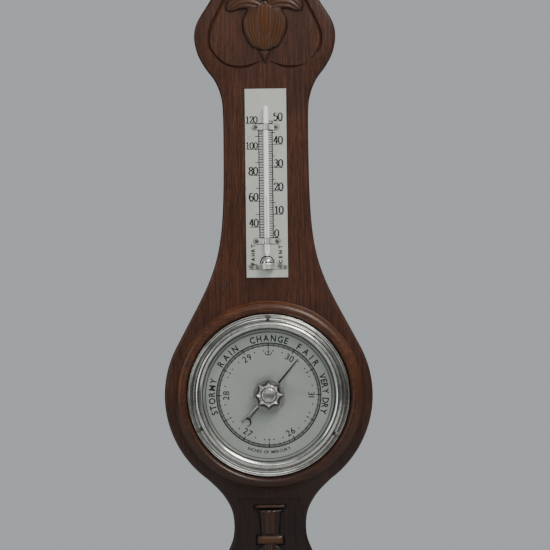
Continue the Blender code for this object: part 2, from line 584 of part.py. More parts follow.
def make_thermometer(frame, silver, tube_glass, mercury, nickel, steel):
    corners = [
        (THERMOMETER_HALF_WIDTH, THERMOMETER_FOOT), (THERMOMETER_HALF_WIDTH, THERMOMETER_TOP),
        (-THERMOMETER_HALF_WIDTH, THERMOMETER_TOP), (-THERMOMETER_HALF_WIDTH, THERMOMETER_FOOT),
    ]
    plate = add("thermometer_plate", prism(corners, SEAT, PLATE_FRONT), silver, frame)
    holes = [(side * CLIP_PIN_X, y, 1.0, 27, 31) for y in CLIP_HEIGHTS for side in (-1, 1)]
    combine(plate, "DIFFERENCE", drill(*holes, steps=8))
    combine(plate, "DIFFERENCE", drill((0, BULB_HEIGHT, BULB_RADIUS + 1, 27, 31), steps=32))

    length = TUBE_TOP - TUBE_FOOT
    dome = [(TUBE_RADIUS * math.cos(a), TUBE_RADIUS * math.sin(a)) for a in (i * math.pi / 10 for i in range(5))]
    tube = [(0, 0), (1.6, 0), (1.9, 1.5), (TUBE_RADIUS, 4)]
    tube += [(radius, length - TUBE_RADIUS + rise) for radius, rise in dome] + [(0, length)]
    add(
        "thermometer_tube", turned(tube, 16), tube_glass, frame, (0, TUBE_FOOT, TUBE_DEPTH), (-math.pi / 2, 0, 0)
    )
    bulb = [
        (BULB_RADIUS * math.sin(a), -BULB_RADIUS * math.cos(a)) for a in (i * math.pi / 10 for i in range(1, 10))
    ]
    bulb = [(0, -BULB_RADIUS)] + bulb + [(0, BULB_RADIUS)]
    add("mercury_bulb", turned(bulb, 20), mercury, frame, (0, BULB_HEIGHT, BULB_DEPTH), (-math.pi / 2, 0, 0))
    cup_low, cup_high = PLATE_FRONT + GAP, PLATE_FRONT + 4.5
    cup = arc((0, BULB_HEIGHT), BULB_RADIUS + 1.3, 205, 335, 12)
    cup += arc((0, BULB_HEIGHT), BULB_RADIUS + 0.5, 335, 205, 12)
    add("bulb_cup", prism(cup, cup_low, cup_high), nickel, frame)

    reach, thick, low = 13.3, 0.6, PLATE_FRONT + GAP
    inner, outer = TUBE_RADIUS + GAP, TUBE_RADIUS + GAP + thick
    strap = [(-reach, low), (-inner, low)] + arc((0, TUBE_DEPTH), inner, 180, 0, 12) + [(inner, low), (reach, low)]
    strap += [(reach, low + thick), (outer, low + thick)] + arc((0, TUBE_DEPTH), outer, 0, 180, 12)
    strap += [(-outer, low + thick), (-reach, low + thick)]
    number = 0
    for name, y in zip(("upper_tube_clip", "lower_tube_clip"), CLIP_HEIGHTS):
        clip = add(name, prism(strap, y - 2.65, y + 2.65, "y"), nickel, frame)
        combine(clip, "DIFFERENCE", drill(*[(side * CLIP_PIN_X, y, 1.0, 28, 32) for side in (-1, 1)], steps=8))
        for side in (-1, 1):
            number += 1
            screw(f"clip_pin_{number}", 2.2, 1.1, 0.7, 8, steel, frame, (side * CLIP_PIN_X, y, low + thick + GAP))


def main():
    clear_scene()
    wood = material("dark_stained_wood", (0.065, 0.028, 0.018), 0.35)
    chrome = material("nickel_plate", (0.66, 0.67, 0.64), 0.22, 1.0)
    silver = material("silvered_brass", (0.50, 0.53, 0.51), 0.45, 0.6)
    clear_glass = material("clear_glass", (0.9, 0.95, 0.93), 0.03, 0.0, 0.2)
    tube_glass = material("opal_glass", (0.82, 0.83, 0.82), 0.1)
    mercury = material("mercury", (0.75, 0.75, 0.74), 0.08, 1.0)
    brass = material("lacquered_brass", (0.63, 0.46, 0.20), 0.35, 1.0)
    steel = material("bright_steel", (0.45, 0.45, 0.44), 0.35, 1.0)
    blued = material("blued_steel", (0.05, 0.055, 0.06), 0.3, 0.8)
    iron = material("japanned_iron", (0.02, 0.02, 0.022), 0.5)

    frame = empty("wall_frame", rotation=(math.pi / 2, 0, 0))
    make_case(frame, wood)
    make_carvings(frame, wood)
    make_hanger(frame, brass, steel)
    make_bezel(frame, chrome, clear_glass, silver, brass, steel)
    make_pan(frame, brass)
    make_indicating_hand(frame, blued, brass)
    make_set_hand(frame, chrome)
    make_base(frame, brass, steel)
    make_capsule(frame, chrome, brass)
    make_spring(frame, steel, iron)
    make_regulator(frame, brass, steel)
    make_hairspring(frame, steel)
    make_top_plate(frame, brass)
    make_adjuster(frame, steel)
    make_thermometer(frame, silver, tube_glass, mercury, chrome, steel)


main()
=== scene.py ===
"""Looks of the banjo-shaped aneroid barometer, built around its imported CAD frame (Blender 4.5).

Shapes are in millimetres in the wall frame: x right, y up and z away from the wall, with the origin on the
dial's axis. to_row() turns them into the frame's metres, where +Z is up and the dial faces -Y.
"""

import json
import math

import bmesh
import bpy
import numpy as np
from mathutils import Matrix, Vector


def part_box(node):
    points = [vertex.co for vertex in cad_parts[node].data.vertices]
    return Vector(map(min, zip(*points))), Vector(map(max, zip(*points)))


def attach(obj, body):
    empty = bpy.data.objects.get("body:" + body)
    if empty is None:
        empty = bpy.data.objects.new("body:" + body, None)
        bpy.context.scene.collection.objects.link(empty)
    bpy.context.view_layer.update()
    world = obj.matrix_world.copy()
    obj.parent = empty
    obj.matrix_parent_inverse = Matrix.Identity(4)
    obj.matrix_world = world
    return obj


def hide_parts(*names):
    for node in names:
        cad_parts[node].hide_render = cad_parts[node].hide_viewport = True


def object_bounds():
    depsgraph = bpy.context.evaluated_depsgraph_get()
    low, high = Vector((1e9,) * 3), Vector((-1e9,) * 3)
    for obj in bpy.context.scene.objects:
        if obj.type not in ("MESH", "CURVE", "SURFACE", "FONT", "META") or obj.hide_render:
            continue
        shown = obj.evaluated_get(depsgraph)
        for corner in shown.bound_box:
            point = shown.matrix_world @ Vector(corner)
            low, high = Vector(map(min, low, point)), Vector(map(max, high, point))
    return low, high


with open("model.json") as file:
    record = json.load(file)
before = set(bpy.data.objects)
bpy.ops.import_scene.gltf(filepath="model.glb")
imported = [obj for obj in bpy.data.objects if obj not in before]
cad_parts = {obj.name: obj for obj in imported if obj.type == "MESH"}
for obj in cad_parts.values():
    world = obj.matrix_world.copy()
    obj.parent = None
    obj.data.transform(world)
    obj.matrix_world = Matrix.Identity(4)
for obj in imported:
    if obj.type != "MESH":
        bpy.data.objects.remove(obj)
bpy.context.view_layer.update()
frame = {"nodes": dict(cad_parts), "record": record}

TURN = 2 * math.pi


def millimetres(node):
    """Lowest and highest corners of a CAD node in the wall frame."""
    low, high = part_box(node)
    return (low.x * 1000, low.z * 1000, -high.y * 1000), (high.x * 1000, high.z * 1000, -low.y * 1000)


# Main planes and sizes, read from the frame
(_, BASE_FOOT, _), (BODY_RADIUS, HEAD_TOP, FRONT) = millimetres("case_body")
SEAT = millimetres("bezel")[0][2]  # where pieces lie on the case
BEZEL_RADIUS, _, BEZEL_FRONT = millimetres("bezel")[1]
MOULDING_RADIUS = millimetres("dial_moulding")[1][0]
GLASS_RADIUS, _, GLASS_FRONT = millimetres("glass")[1]
DIAL_RADIUS, _, DIAL_FRONT = millimetres("dial_plate")[1]
SET_HAND_DEPTH = millimetres("set_hand")[0][2]
KNOB_BACK = millimetres("set_knob")[0][2]
HAND_DEPTH = 29.1
BORE_RADIUS = 66.8

PLATE_LOW, PLATE_HIGH = millimetres("thermometer_plate")
TUBE_LOW, TUBE_HIGH = millimetres("thermometer_tube")
TUBE_RADIUS = (TUBE_HIGH[0] - TUBE_LOW[0]) / 2
TUBE_DEPTH = (TUBE_LOW[2] + TUBE_HIGH[2]) / 2
BULB_LOW, BULB_HIGH = millimetres("mercury_bulb")
BULB_RADIUS = (BULB_HIGH[0] - BULB_LOW[0]) / 2
BULB_HEIGHT = (BULB_LOW[1] + BULB_HIGH[1]) / 2
BULB_DEPTH = (BULB_LOW[2] + BULB_HIGH[2]) / 2

# Dial scale
INCH_ANGLE = 60.0
TOP_INCH = 29.5
READING = 30.16
SET_HAND_ANGLE = 226.5
BEZEL_SCREW_CIRCLE = 78.2
BEZEL_SCREW_ANGLES = [0, 121, 244]
PRINT_LIFT = 0.04
SCALE_RADIUS = 52.1

# Thermometer scales: height of a mark and height of one degree
FAHRENHEIT_ZERO, FAHRENHEIT_DEGREE = 116.0, 1.2988
CENTIGRADE_ZERO, CENTIGRADE_DEGREE = 157.3, 2.3378
TEMPERATURE_F = 64

# Right-hand outline of the case above and below its round body, as (height, half width)
NECK_AND_HEAD = [
    (72, 79.5), (95, 67.3), (115, 58.0), (138, 50.3), (165, 45.6), (200, 43.3), (245, 42.6), (285, 42.9),
    (303, 45.4), (318, 51.5), (331, 61.0), (345, 68.3), (360, 70.9), (375, 67.7), (395, 55.5), (418, 42.0),
    (438, 32.0), (453, 22.0), (463, 10.5), (HEAD_TOP, 0),
]
WAIST_AND_BASE = [
    (-94.5, 50.5), (-104.5, 43.0), (-116, 37.6), (-130, 35.8), (-144, 37.4), (-158, 43.0), (-172, 49.5),
    (-187, 52.5), (-202, 49.5), (-216, 39.5), (-227, 26.5), (-235, 13), (BASE_FOOT, 0),
]
BODY_ARC_TOP, BODY_ARC_FOOT = 49.0, -84.0


# ---------------------------------------------------------------- mesh tools


def to_row(points):
    points = np.asarray(points, float).reshape(-1, 3)
    return np.column_stack([points[:, 0], -points[:, 2], points[:, 1]]) / 1000


def add(name, verts, faces, material, body, slot, replaces=(), sharp=35):
    """A piece from points in the wall frame, which rides on a body and stands for CAD nodes."""
    mesh = bpy.data.meshes.new(name)
    mesh.from_pydata([tuple(p) for p in to_row(verts)], [], [tuple(f) for f in faces])
    bm = bmesh.new()
    bm.from_mesh(mesh)
    bmesh.ops.remove_doubles(bm, verts=bm.verts, dist=1e-7)
    bmesh.ops.recalc_face_normals(bm, faces=bm.faces)
    bm.to_mesh(mesh)
    bm.free()
    mesh.materials.append(material)
    mesh.shade_smooth()
    mesh.set_sharp_from_angle(angle=math.radians(sharp))
    piece = bpy.data.objects.new(name, mesh)
    bpy.context.scene.collection.objects.link(piece)
    if body:
        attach(piece, body)
    if replaces:
        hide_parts(*replaces)
    return piece


def cut(piece, *cutters, sharp=35):
    """Cuts (verts, faces) solids from a piece, and keeps the result as its mesh."""
    helpers = [add(f"{piece.name}_cutter_{i}", *solid, None, None, None) for i, solid in enumerate(cutters)]
    for helper in helpers:
        modifier = piece.modifiers.new(helper.name, "BOOLEAN")
        modifier.operation = "DIFFERENCE"
        modifier.object = helper
        modifier.solver = "EXACT"
    bpy.context.view_layer.update()
    result = bpy.data.meshes.new_from_object(piece.evaluated_get(bpy.context.evaluated_depsgraph_get()))
    piece.modifiers.clear()
    piece.data = result
    for helper in helpers:
        bpy.data.objects.remove(helper)
    result.shade_smooth()
    result.set_sharp_from_angle(angle=math.radians(sharp))


def turned(profile, steps=192, centre=(0, 0, 0), along="z"):
    """A solid of revolution from (radius, length) points. A profile off the axis closes on itself."""
    closed = profile[0][0] > 0 or profile[-1][0] > 0
    angles = np.arange(steps) * TURN / steps
    verts = []
    for radius, length in profile:
        ring = np.column_stack([radius * np.sin(angles), radius * np.cos(angles), np.full(steps, length)])
        if along == "y":
            ring = ring[:, [0, 2, 1]]
        verts.append(ring + np.array(centre))
    faces = []
    count = len(profile)
    for i in range(count if closed else count - 1):
        a, b = i * steps, (i + 1) % count * steps
        for j in range(steps):
            k = (j + 1) % steps
            faces.append((a + j, a + k, b + k, b + j))
    return np.concatenate(verts), faces


def stacked(loops, capped=True):
    """A solid through loops that all have the same number of points."""
    size = len(loops[0])
    faces = []
    for level in range(len(loops) - 1):
        a, b = level * size, (level + 1) * size
        faces += [(a + i, a + (i + 1) % size, b + (i + 1) % size, b + i) for i in range(size)]
    if capped:
        faces += [tuple(range(size)), tuple(range((len(loops) - 1) * size, len(loops) * size))]
    return np.concatenate([np.asarray(loop, float) for loop in loops]), faces


def prism(outline, low, high):
    return stacked([[(x, y, z) for x, y in outline] for z in (low, high)])


def drill(x, y, radius, low, high, steps=48):
    angles = np.arange(steps) * TURN / steps
    return prism([(x + radius * math.cos(a), y + radius * math.sin(a)) for a in angles], low, high)


def smooth(points, steps=6):
    """A Catmull-Rom curve through the points, with their ends kept."""
    points = [tuple(map(float, p)) for p in points]
    ends = [points[0]] + points + [points[-1]]
    curve = []
    for p0, p1, p2, p3 in zip(ends, ends[1:], ends[2:], ends[3:]):
        for i in range(steps):
            t = i / steps
            curve.append(tuple(
                0.5 * (2 * b + (c - a) * t + (2 * a - 5 * b + 4 * c - d) * t**2 + (3 * b - a - 3 * c + d) * t**3)
                for a, b, c, d in zip(p0, p1, p2, p3)
            ))
    return curve + [points[-1]]


def directions(path, closed=False):
    """Unit vectors along a path, one at each point."""
    points = np.asarray(path, float)
    along = np.roll(points, -1, axis=0) - np.roll(points, 1, axis=0) if closed else np.gradient(points, axis=0)
    return along / np.maximum(np.linalg.norm(along, axis=1), 1e-9)[:, None]


def arc(centre, radius, start, end, count):
    """Points on an arc, with angles in degrees counterclockwise from +x."""
    angles = [math.radians(start + (end - start) * i / count) for i in range(count + 1)]
    return [(centre[0] + radius * math.cos(a), centre[1] + radius * math.sin(a)) for a in angles]


def clockwise(angle, radius):
    """The point at this many degrees clockwise from the top."""
    return radius * math.sin(math.radians(angle)), radius * math.cos(math.radians(angle))


def turn_clockwise(points, degrees):
    """Points turned about the dial's axis."""
    a = math.radians(degrees)
    points = np.array(points, float)
    x, y = points[:, 0].copy(), points[:, 1].copy()
    points[:, 0] = x * math.cos(a) + y * math.sin(a)
    points[:, 1] = -x * math.sin(a) + y * math.cos(a)
    return points


def mirrored(half):
    """A closed outline from its right-hand half, which runs from the top point to the foot point."""
    return half + [(-x, y) for x, y in reversed(half) if abs(x) > 1e-6]


# ---------------------------------------------------------------- materials


class Tree:
    """Adds linked nodes to a node tree."""

    def __init__(self, tree):
        self.tree = tree

    def node(self, kind, inputs=None, **settings):
        made = self.tree.nodes.new(kind)
        for key, value in settings.items():
            setattr(made, key, value)
        for key, value in (inputs or {}).items():
            self.feed(made.inputs[key], value)
        return made

    def feed(self, target, value):
        """Links a socket, or sets its value. A colour may leave out its alpha."""
        if isinstance(value, bpy.types.NodeSocket):
            self.tree.links.new(value, target)
        elif target.type == "RGBA":
            target.default_value = (*value, 1)
        else:
            target.default_value = value

    def range(self, value, low, high, start=0.0, end=1.0):
        """Maps start to low and end to high."""
        inputs = {"Value": value, "From Min": start, "From Max": end, "To Min": low, "To Max": high}
        return self.node("ShaderNodeMapRange", inputs).outputs[0]


class Nodes(Tree):
    """Builds one node material in object space, in millimetres."""

    def __init__(self, name, **sockets):
        self.material = bpy.data.materials.new(name)
        self.material.use_nodes = True
        super().__init__(self.material.node_tree)
        self.shader = self.tree.nodes["Principled BSDF"]
        self.coordinates = self.node("ShaderNodeTexCoord").outputs["Object"]
        for socket, value in sockets.items():
            self.set(socket.replace("_", " "), value)

    def set(self, socket, value):
        self.feed(self.shader.inputs[socket], value)

    def stretched(self, x, y, z):
        """Coordinates in units of x, y and z millimetres of the row frame, where z is up."""
        scale = (1000 / x, 1000 / y, 1000 / z)
        return self.node("ShaderNodeMapping", {"Vector": self.coordinates, "Scale": scale}).outputs[0]

    def noise(self, size, detail=4.0, roughness=0.55, distortion=0.0):
        """Noise whose features are about this many millimetres in size: one number, or one for each axis."""
        x, y, z = size if isinstance(size, tuple) else (size, size, size)
        inputs = {
            "Vector": self.stretched(x, y, z), "Scale": 1.0, "Detail": detail, "Roughness": roughness,
            "Distortion": distortion,
        }
        return self.node("ShaderNodeTexNoise", inputs).outputs["Fac"]

    def ramp(self, factor, *stops):
        made = self.node("ShaderNodeValToRGB", {"Fac": factor})
        elements = made.color_ramp.elements
        while len(elements) < len(stops):
            elements.new(0.5)
        for element, (place, colour) in zip(elements, stops):
            element.position = place
            element.color = (*colour, 1) if isinstance(colour, tuple) else (colour, colour, colour, 1)
        return made.outputs["Color"]

    def mix(self, factor, a, b, blend="MIX"):
        return self.node("ShaderNodeMix", {0: factor, 6: a, 7: b}, data_type="RGBA", blend_type=blend).outputs[2]

    def math(self, operation, a, b):
        return self.node("ShaderNodeMath", {0: a, 1: b}, operation=operation).outputs[0]

    def bump(self, height, depth, strength=1.0):
        """Bump whose full height is this many millimetres."""
        made = self.node("ShaderNodeBump", {"Height": height, "Distance": depth / 1000, "Strength": strength})
        self.set("Normal", made.outputs[0])
        return self.material


def wood(name, light, dark, grain=(0.9, 0.9, 38.0), raised_highlight=None):
    """Dark stained oak under old varnish: streaked fibres, open pores, slow changes of tone, painted shade that
    darkens it towards the foot, and, when given, a painted highlight on raised parts.
    """
    m = Nodes(name, Coat_Weight=0.35, Coat_Roughness=0.22, Coat_IOR=1.5, Specular_IOR_Level=0.22)
    fibres = m.noise(grain, 6.0, 0.62, 0.4)
    bands = m.noise((11.0, 11.0, 210.0), 3.0, 0.5, 1.2)
    pores = m.ramp(m.noise((0.42, 0.42, 9.0), 2.0, 0.5), (0.56, 0.0), (0.66, 1.0))
    middle = tuple(a * 0.35 + b * 0.65 for a, b in zip(light, dark))
    streaks = m.ramp(fibres, (0.34, dark), (0.5, middle), (0.68, light))
    toned = m.mix(m.range(bands, 0.0, 0.9), streaks, tuple(value * 0.55 for value in light))
    marks = m.mix(m.math("MULTIPLY", pores, 0.75), toned, tuple(value * 0.25 for value in dark))
    wear = m.ramp(m.noise(46.0, 3.0, 0.6), (0.35, 0.78), (0.7, 1.18))
    place = m.node("ShaderNodeSeparateXYZ", {0: m.coordinates}).outputs
    painted_shade_to_foot = m.range(place["Z"], 0.20, 1.0, -0.12, 0.10)  # painted shade: the wood gets darker towards its foot
    surface_tone = m.mix(1.0, m.mix(1.0, marks, wear, "MULTIPLY"), painted_shade_to_foot, "MULTIPLY")
    if raised_highlight:
        # Painted highlight: raised parts of a carving turn towards a lighter, warmer colour.
        raised_highlight_mask = m.range(place["Y"], 0.0, 1.0, -(SEAT + 1.5) / 1000, -(SEAT + 5.5) / 1000)
        surface_tone = m.mix(m.math("MULTIPLY", raised_highlight_mask, 0.7), surface_tone, raised_highlight)
    m.set("Base Color", surface_tone)
    m.set("Roughness", m.range(m.math("ADD", fibres, m.math("MULTIPLY", pores, 0.4)), 0.30, 0.52))
    return m.bump(m.math("SUBTRACT", fibres, m.math("MULTIPLY", pores, 0.9)), 0.10, 0.5)


def plated(name, colour, tarnish, roughness, wear=0.5):
    """Worn nickel or chrome: bright metal with cloudy, duller and darker patches and fine scratches."""
    m = Nodes(name, Metallic=1.0)
    clouds = m.noise(7.0, 6.0, 0.65, 0.3)
    specks = m.ramp(m.noise(1.1, 3.0, 0.6), (0.60, 0.0), (0.72, 1.0))
    patches = m.ramp(clouds, (0.38, 0.0), (0.72, wear))
    m.set("Base Color", m.mix(m.math("MAXIMUM", patches, m.math("MULTIPLY", specks, wear * 0.7)), colour, tarnish))
    m.set("Roughness", m.range(clouds, roughness * 0.7, roughness * 1.6))
    return m.bump(m.noise((0.25, 0.25, 4.0), 2.0), 0.01, 0.4)


def silvered(name, colour, shade, spots, stains=()):
    """Matt silvered brass: fine grain, slow tone changes, small tarnish spots, and stains as (x, y, radius)."""
    m = Nodes(name, Metallic=0.35, Specular_IOR_Level=0.4)
    clouds = m.noise(38.0, 5.0, 0.6)
    freckles = m.ramp(m.noise(2.3, 2.0, 0.5), (0.66, 0.0), (0.78, 1.0))
    toned = m.mix(m.ramp(clouds, (0.35, 0.0), (0.75, 1.0)), colour, shade)
    marked = m.mix(m.math("MULTIPLY", freckles, 0.5), toned, spots)
    ragged = m.noise(2.4, 4.0, 0.65)
    for x, y, radius in stains:
        ends = {0: m.coordinates, 1: (x / 1000, -PLATE_HIGH[2] / 1000, y / 1000)}
        distance = m.node("ShaderNodeVectorMath", ends, operation="DISTANCE").outputs["Value"]
        reach = m.math("SUBTRACT", m.math("MULTIPLY", ragged, 1.7), m.math("MULTIPLY", distance, 1000 / radius))
        marked = m.mix(m.ramp(reach, (0.05, 0.0), (0.5, 0.85)), marked, (0.085, 0.075, 0.055))
    m.set("Base Color", marked)
    m.set("Roughness", m.range(m.noise(0.5, 3.0), 0.36, 0.52))
    return m.bump(m.noise(0.3, 3.0), 0.008, 0.35)


def brass(name, colour, tarnish):
    m = Nodes(name, Metallic=1.0)
    clouds = m.noise(9.0, 6.0, 0.65)
    brushed = m.noise((0.35, 0.35, 22.0), 3.0, 0.6)
    m.set("Base Color", m.mix(m.ramp(clouds, (0.4, 0.0), (0.75, 0.75)), colour, tarnish))
    m.set("Roughness", m.range(brushed, 0.26, 0.46))
    return m.bump(brushed, 0.02, 0.5)


def steel(name, colour, dark, roughness=0.34):
    m = Nodes(name, Metallic=1.0)
    scratches = m.noise((3.0, 0.3, 0.3), 4.0, 0.6)
    stains = m.noise(2.6, 5.0, 0.7)
    m.set("Base Color", m.mix(m.ramp(stains, (0.42, 0.0), (0.7, 0.8)), colour, dark))
    m.set("Roughness", m.range(scratches, roughness * 0.8, roughness * 1.4))
    return m.bump(scratches, 0.012, 0.5)


def japanned_iron():
    m = Nodes("japanned_iron", Coat_Weight=0.5, Coat_Roughness=0.12)
    cast = m.noise(1.4, 5.0, 0.6)
    m.set("Base Color", m.ramp(cast, (0.3, (0.010, 0.010, 0.011)), (0.75, (0.035, 0.034, 0.033))))
    m.set("Roughness", m.range(cast, 0.30, 0.50))
    return m.bump(cast, 0.12, 0.6)


def ink():
    """Filled engraving: dull black, a little worn."""
    m = Nodes("engraving_wax", Specular_IOR_Level=0.25)
    surface_tone = m.noise(1.0, 4.0, 0.6)
    m.set("Base Color", m.ramp(surface_tone, (0.35, (0.006, 0.008, 0.008)), (0.8, (0.026, 0.030, 0.030))))
    m.set("Roughness", m.range(surface_tone, 0.5, 0.75))
    return m.material


def clear_glass():
    m = Nodes("clear_glass", Transmission_Weight=1.0, IOR=1.12, Base_Color=(0.97, 0.985, 0.98))
    m.set("Roughness", m.range(m.noise(60.0, 2.0), 0.0, 0.03))
    return m.material


def opal_glass():
    # Painted light: a little emission makes the opal tube glow.
    m = Nodes(
        "opal_glass", Emission_Strength=0.22, Emission_Color=(1.0, 0.99, 0.97), Coat_Weight=1.0,
        Coat_Roughness=0.03, Specular_IOR_Level=0.6,
    )
    streaks = m.noise((2.0, 2.0, 30.0), 3.0)
    m.set("Base Color", m.ramp(streaks, (0.3, (0.80, 0.80, 0.78)), (0.7, (0.90, 0.90, 0.88))))
    m.set("Roughness", m.range(m.noise(4.0), 0.08, 0.2))
    return m.material


def mercury():
    m = Nodes("mercury", Metallic=1.0)
    film = m.noise(3.0, 3.0)
    m.set("Base Color", m.ramp(film, (0.3, (0.52, 0.52, 0.51)), (0.7, (0.78, 0.78, 0.77))))
    m.set("Roughness", m.range(film, 0.05, 0.16))
    return m.material


OAK = wood("dark_stained_oak", (0.125, 0.042, 0.018), (0.014, 0.0036, 0.0016), (1.3, 1.3, 42.0))
# The ring's oak is lighter and more orange than the case's: a painted highlight for the lit ring.
MOULDING_OAK = wood("moulding_oak", (0.200, 0.062, 0.019), (0.016, 0.0040, 0.0016), (30.0, 1.6, 1.6))
# Carved oak: its last colour is the painted highlight on raised parts.
CARVED_OAK = wood(
    "carved_oak", (0.070, 0.024, 0.009), (0.006, 0.0020, 0.0010), (0.8, 0.8, 16.0), (0.170, 0.062, 0.018),
)
NICKEL = plated("worn_nickel", (0.60, 0.60, 0.56), (0.20, 0.185, 0.16), 0.13, 0.6)
TIN = plated("bright_tin", (0.93, 0.91, 0.86), (0.60, 0.56, 0.48), 0.34, 0.4)
# Painted shade: near-black nickel for the dark lines, outlines and flutes that stand for shadows.
SHADE_NICKEL = plated("painted_shade_nickel", (0.10, 0.10, 0.095), (0.04, 0.04, 0.035), 0.4)
KNOB_NICKEL = plated("knob_nickel", (0.66, 0.66, 0.63), (0.25, 0.24, 0.21), 0.2, 0.5)
DIAL_SILVER = silvered("silvered_dial", (0.45, 0.465, 0.43), (0.41, 0.43, 0.40), (0.20, 0.20, 0.17))
PLATE_SILVER = silvered(
    "silvered_plate", (0.60, 0.62, 0.56), (0.53, 0.55, 0.50), (0.28, 0.27, 0.22),
    [(-15.5, 128.6, 5.2), (-10.0, 128.2, 4.2), (13.0, 128.6, 5.0), (17.5, 127.6, 3.6)],
)
BRASS = brass("lacquered_brass", (0.66, 0.47, 0.20), (0.30, 0.20, 0.09))
STEEL = steel("bright_steel", (0.52, 0.52, 0.50), (0.20, 0.18, 0.15))
DARK_STEEL = steel("dark_steel", (0.20, 0.19, 0.17), (0.06, 0.05, 0.04), 0.42)
BLUED = steel("blued_steel", (0.055, 0.06, 0.07), (0.025, 0.024, 0.025), 0.3)
IRON = japanned_iron()
INK = ink()
GLASS = clear_glass()
GLOWING_OPAL = opal_glass()
MERCURY = mercury()
FINISHES = {
    "case_wood": OAK, "nickel": NICKEL, "silvered": DIAL_SILVER, "clear_glass": GLASS, "opal_glass": GLOWING_OPAL,
    "mercury": MERCURY, "brass": BRASS, "steel": STEEL, "blued_steel": BLUED, "japanned_iron": IRON,
}


def finish_cad_nodes():
    """Gives every CAD node that stays in view the procedural finish of its material slot."""
    for row in frame["record"]["subparts"]:
        node = frame["nodes"][row["node"]]
        node.data.materials.clear()
        node.data.materials.append(FINISHES[row["material_slot"]])


# ---------------------------------------------------------------- case and carvings


def case_outline(steps=6):
    body = [
        (height, math.sqrt(BODY_RADIUS**2 - height**2))
        for height in np.linspace(BODY_ARC_TOP, BODY_ARC_FOOT, 48)
    ]
    upper = smooth(list(reversed(NECK_AND_HEAD)) + [body[0]], steps)
    lower = smooth([body[-1]] + WAIST_AND_BASE, steps)
    return mirrored([(float(width), float(height)) for height, width in upper + body[1:-1] + lower])


def inset(outline, distance):
    """The outline moved inwards along its own normals."""
    along = directions(outline, closed=True)
    return np.array(outline) + distance * np.column_stack([along[:, 1], -along[:, 0]])


def groove(path, width, depth):
    """A V-shaped cutter with a softened lip, swept along a path in the front face."""
    points = np.array(path, float)
    along = directions(points)
    side = np.column_stack([along[:, 1], -along[:, 0]]) * width / 2
    section = mirrored([(1.5, 1.0), (0.95, 0.0), (0.72, -0.35), (0.15, -depth)])
    ends = np.minimum(np.arange(len(points)), np.arange(len(points))[::-1])
    fade = np.clip(0.25 + ends / 6, 0, 1)
    loops = [
        [(*(point + across * u * size), FRONT + rise * (size if rise < 0 else 1)) for u, rise in section]
        for point, across, size in zip(points, side, fade)
    ]
    return stacked(loops)


def head_grooves():
    """The heart-shaped outline around the crest: a short stroke at the foot, then the rest from its right side."""
    half = smooth([
        (4.6, 334.6), (20.6, 328.8), (36.8, 330.5), (47.6, 338), (55.0, 348.5), (56.4, 357.5), (54.2, 368.5),
        (49.0, 380), (41.5, 394.5), (34, 407.5), (26.5, 420.5), (19, 432.5), (10.5, 442.5), (0, 448.5),
    ], 5)
    short = [(x, y) for x, y in half if y < 335 and x < 40.5]
    rest = [(x, y) for x, y in half if y > 336]
    return short, rest + [(-x, y) for x, y in reversed(half[:-1])]


def base_panel():
    """The sunken panel of the base, which follows the outline about 11 mm inside it."""
    side = smooth([
        (31.5, -103), (27.2, -112), (24.8, -123), (24.4, -134), (26.6, -147), (32, -159.5), (38, -172),
        (41, -186), (38.5, -199), (31, -210.5), (20.5, -219.5), (9.5, -225.5), (0, -227.5),
    ], 4)
    return mirrored([(0, -103)] + side)


def make_case():
    outline = case_outline()
    roundover, steps = 3.0, 6
    loops = [[(x, y, 0.4) for x, y in inset(outline, 0.0)]]
    loops.insert(0, [(x, y, 0.0) for x, y in inset(outline, 0.4)])
    for i in range(steps + 1):
        a = i / steps * math.pi / 2
        ring = inset(outline, roundover * (1 - math.cos(a)))
        loops.append([(x, y, FRONT - roundover + roundover * math.sin(a)) for x, y in ring])
    case = add("case_board", *stacked(loops), OAK, "case", "case_wood", ["case_body"])
    (left, foot, _), (right, top, depth) = millimetres("hanging_plate")
    gap = 0.3
    recess = prism([
        (right + gap, foot - gap), (right + gap, top + gap), (left - gap, top + gap), (left - gap, foot - gap),
    ], -1, depth + gap)
    cut(
        case,
        drill(0, 0, BORE_RADIUS, -1, FRONT + 1, 160),
        *[groove(path, 3.6, 2.1) for path in head_grooves()],
        prism(base_panel(), FRONT - 1.3, FRONT + 1),
        recess,
        drill(0, 423, 8.5, 1, 11),
        drill(0, BULB_HEIGHT, BULB_RADIUS + 1.5, 23, FRONT + 1),
        sharp=16,
    )


def petal_field(grid_x, grid_y, spine, width, height, flutes=0, flute_depth=0.0, ends=(0.35, 0.5)):
    """Height of one carved leaf: a ridge along a spine, with flutes along it and a rounded section."""
    points = np.array(smooth(spine, 8))
    lengths = np.concatenate([[0], np.cumsum(np.linalg.norm(np.diff(points, axis=0), axis=1))])
    best = np.full(grid_x.shape, np.inf)
    along = np.zeros(grid_x.shape)
    across = np.zeros(grid_x.shape)
    for start, end, s0, s1 in zip(points, points[1:], lengths, lengths[1:]):
        step = end - start
        size = np.linalg.norm(step)
        t = np.clip(((grid_x - start[0]) * step[0] + (grid_y - start[1]) * step[1]) / size**2, 0, 1)
        dx, dy = grid_x - start[0] - t * step[0], grid_y - start[1] - t * step[1]
        distance = np.hypot(dx, dy)
        side = np.sign(dx * step[1] - dy * step[0]) * distance
        nearer = distance < best
        best = np.where(nearer, distance, best)
        along = np.where(nearer, (s0 + t * (s1 - s0)) / lengths[-1], along)
        across = np.where(nearer, side, across)
    swell = np.maximum(along, 1e-3) ** ends[0] * np.maximum(1 - along, 1e-3) ** ends[1]
    swell /= (ends[0] / sum(ends)) ** ends[0] * (ends[1] / sum(ends)) ** ends[1]
    half = np.maximum(width * swell, 1e-3)
    u = across / half
    section = np.sqrt(np.clip(1 - u**2, 0, 1)) ** 0.8
    ripple = 1 - flute_depth * (0.5 + 0.5 * np.cos(TURN * flutes * u / 2)) if flutes else 1
    return np.where(np.abs(u) < 1, height * section * ripple * np.clip(swell, 0.25, 1) ** 0.5, -1)


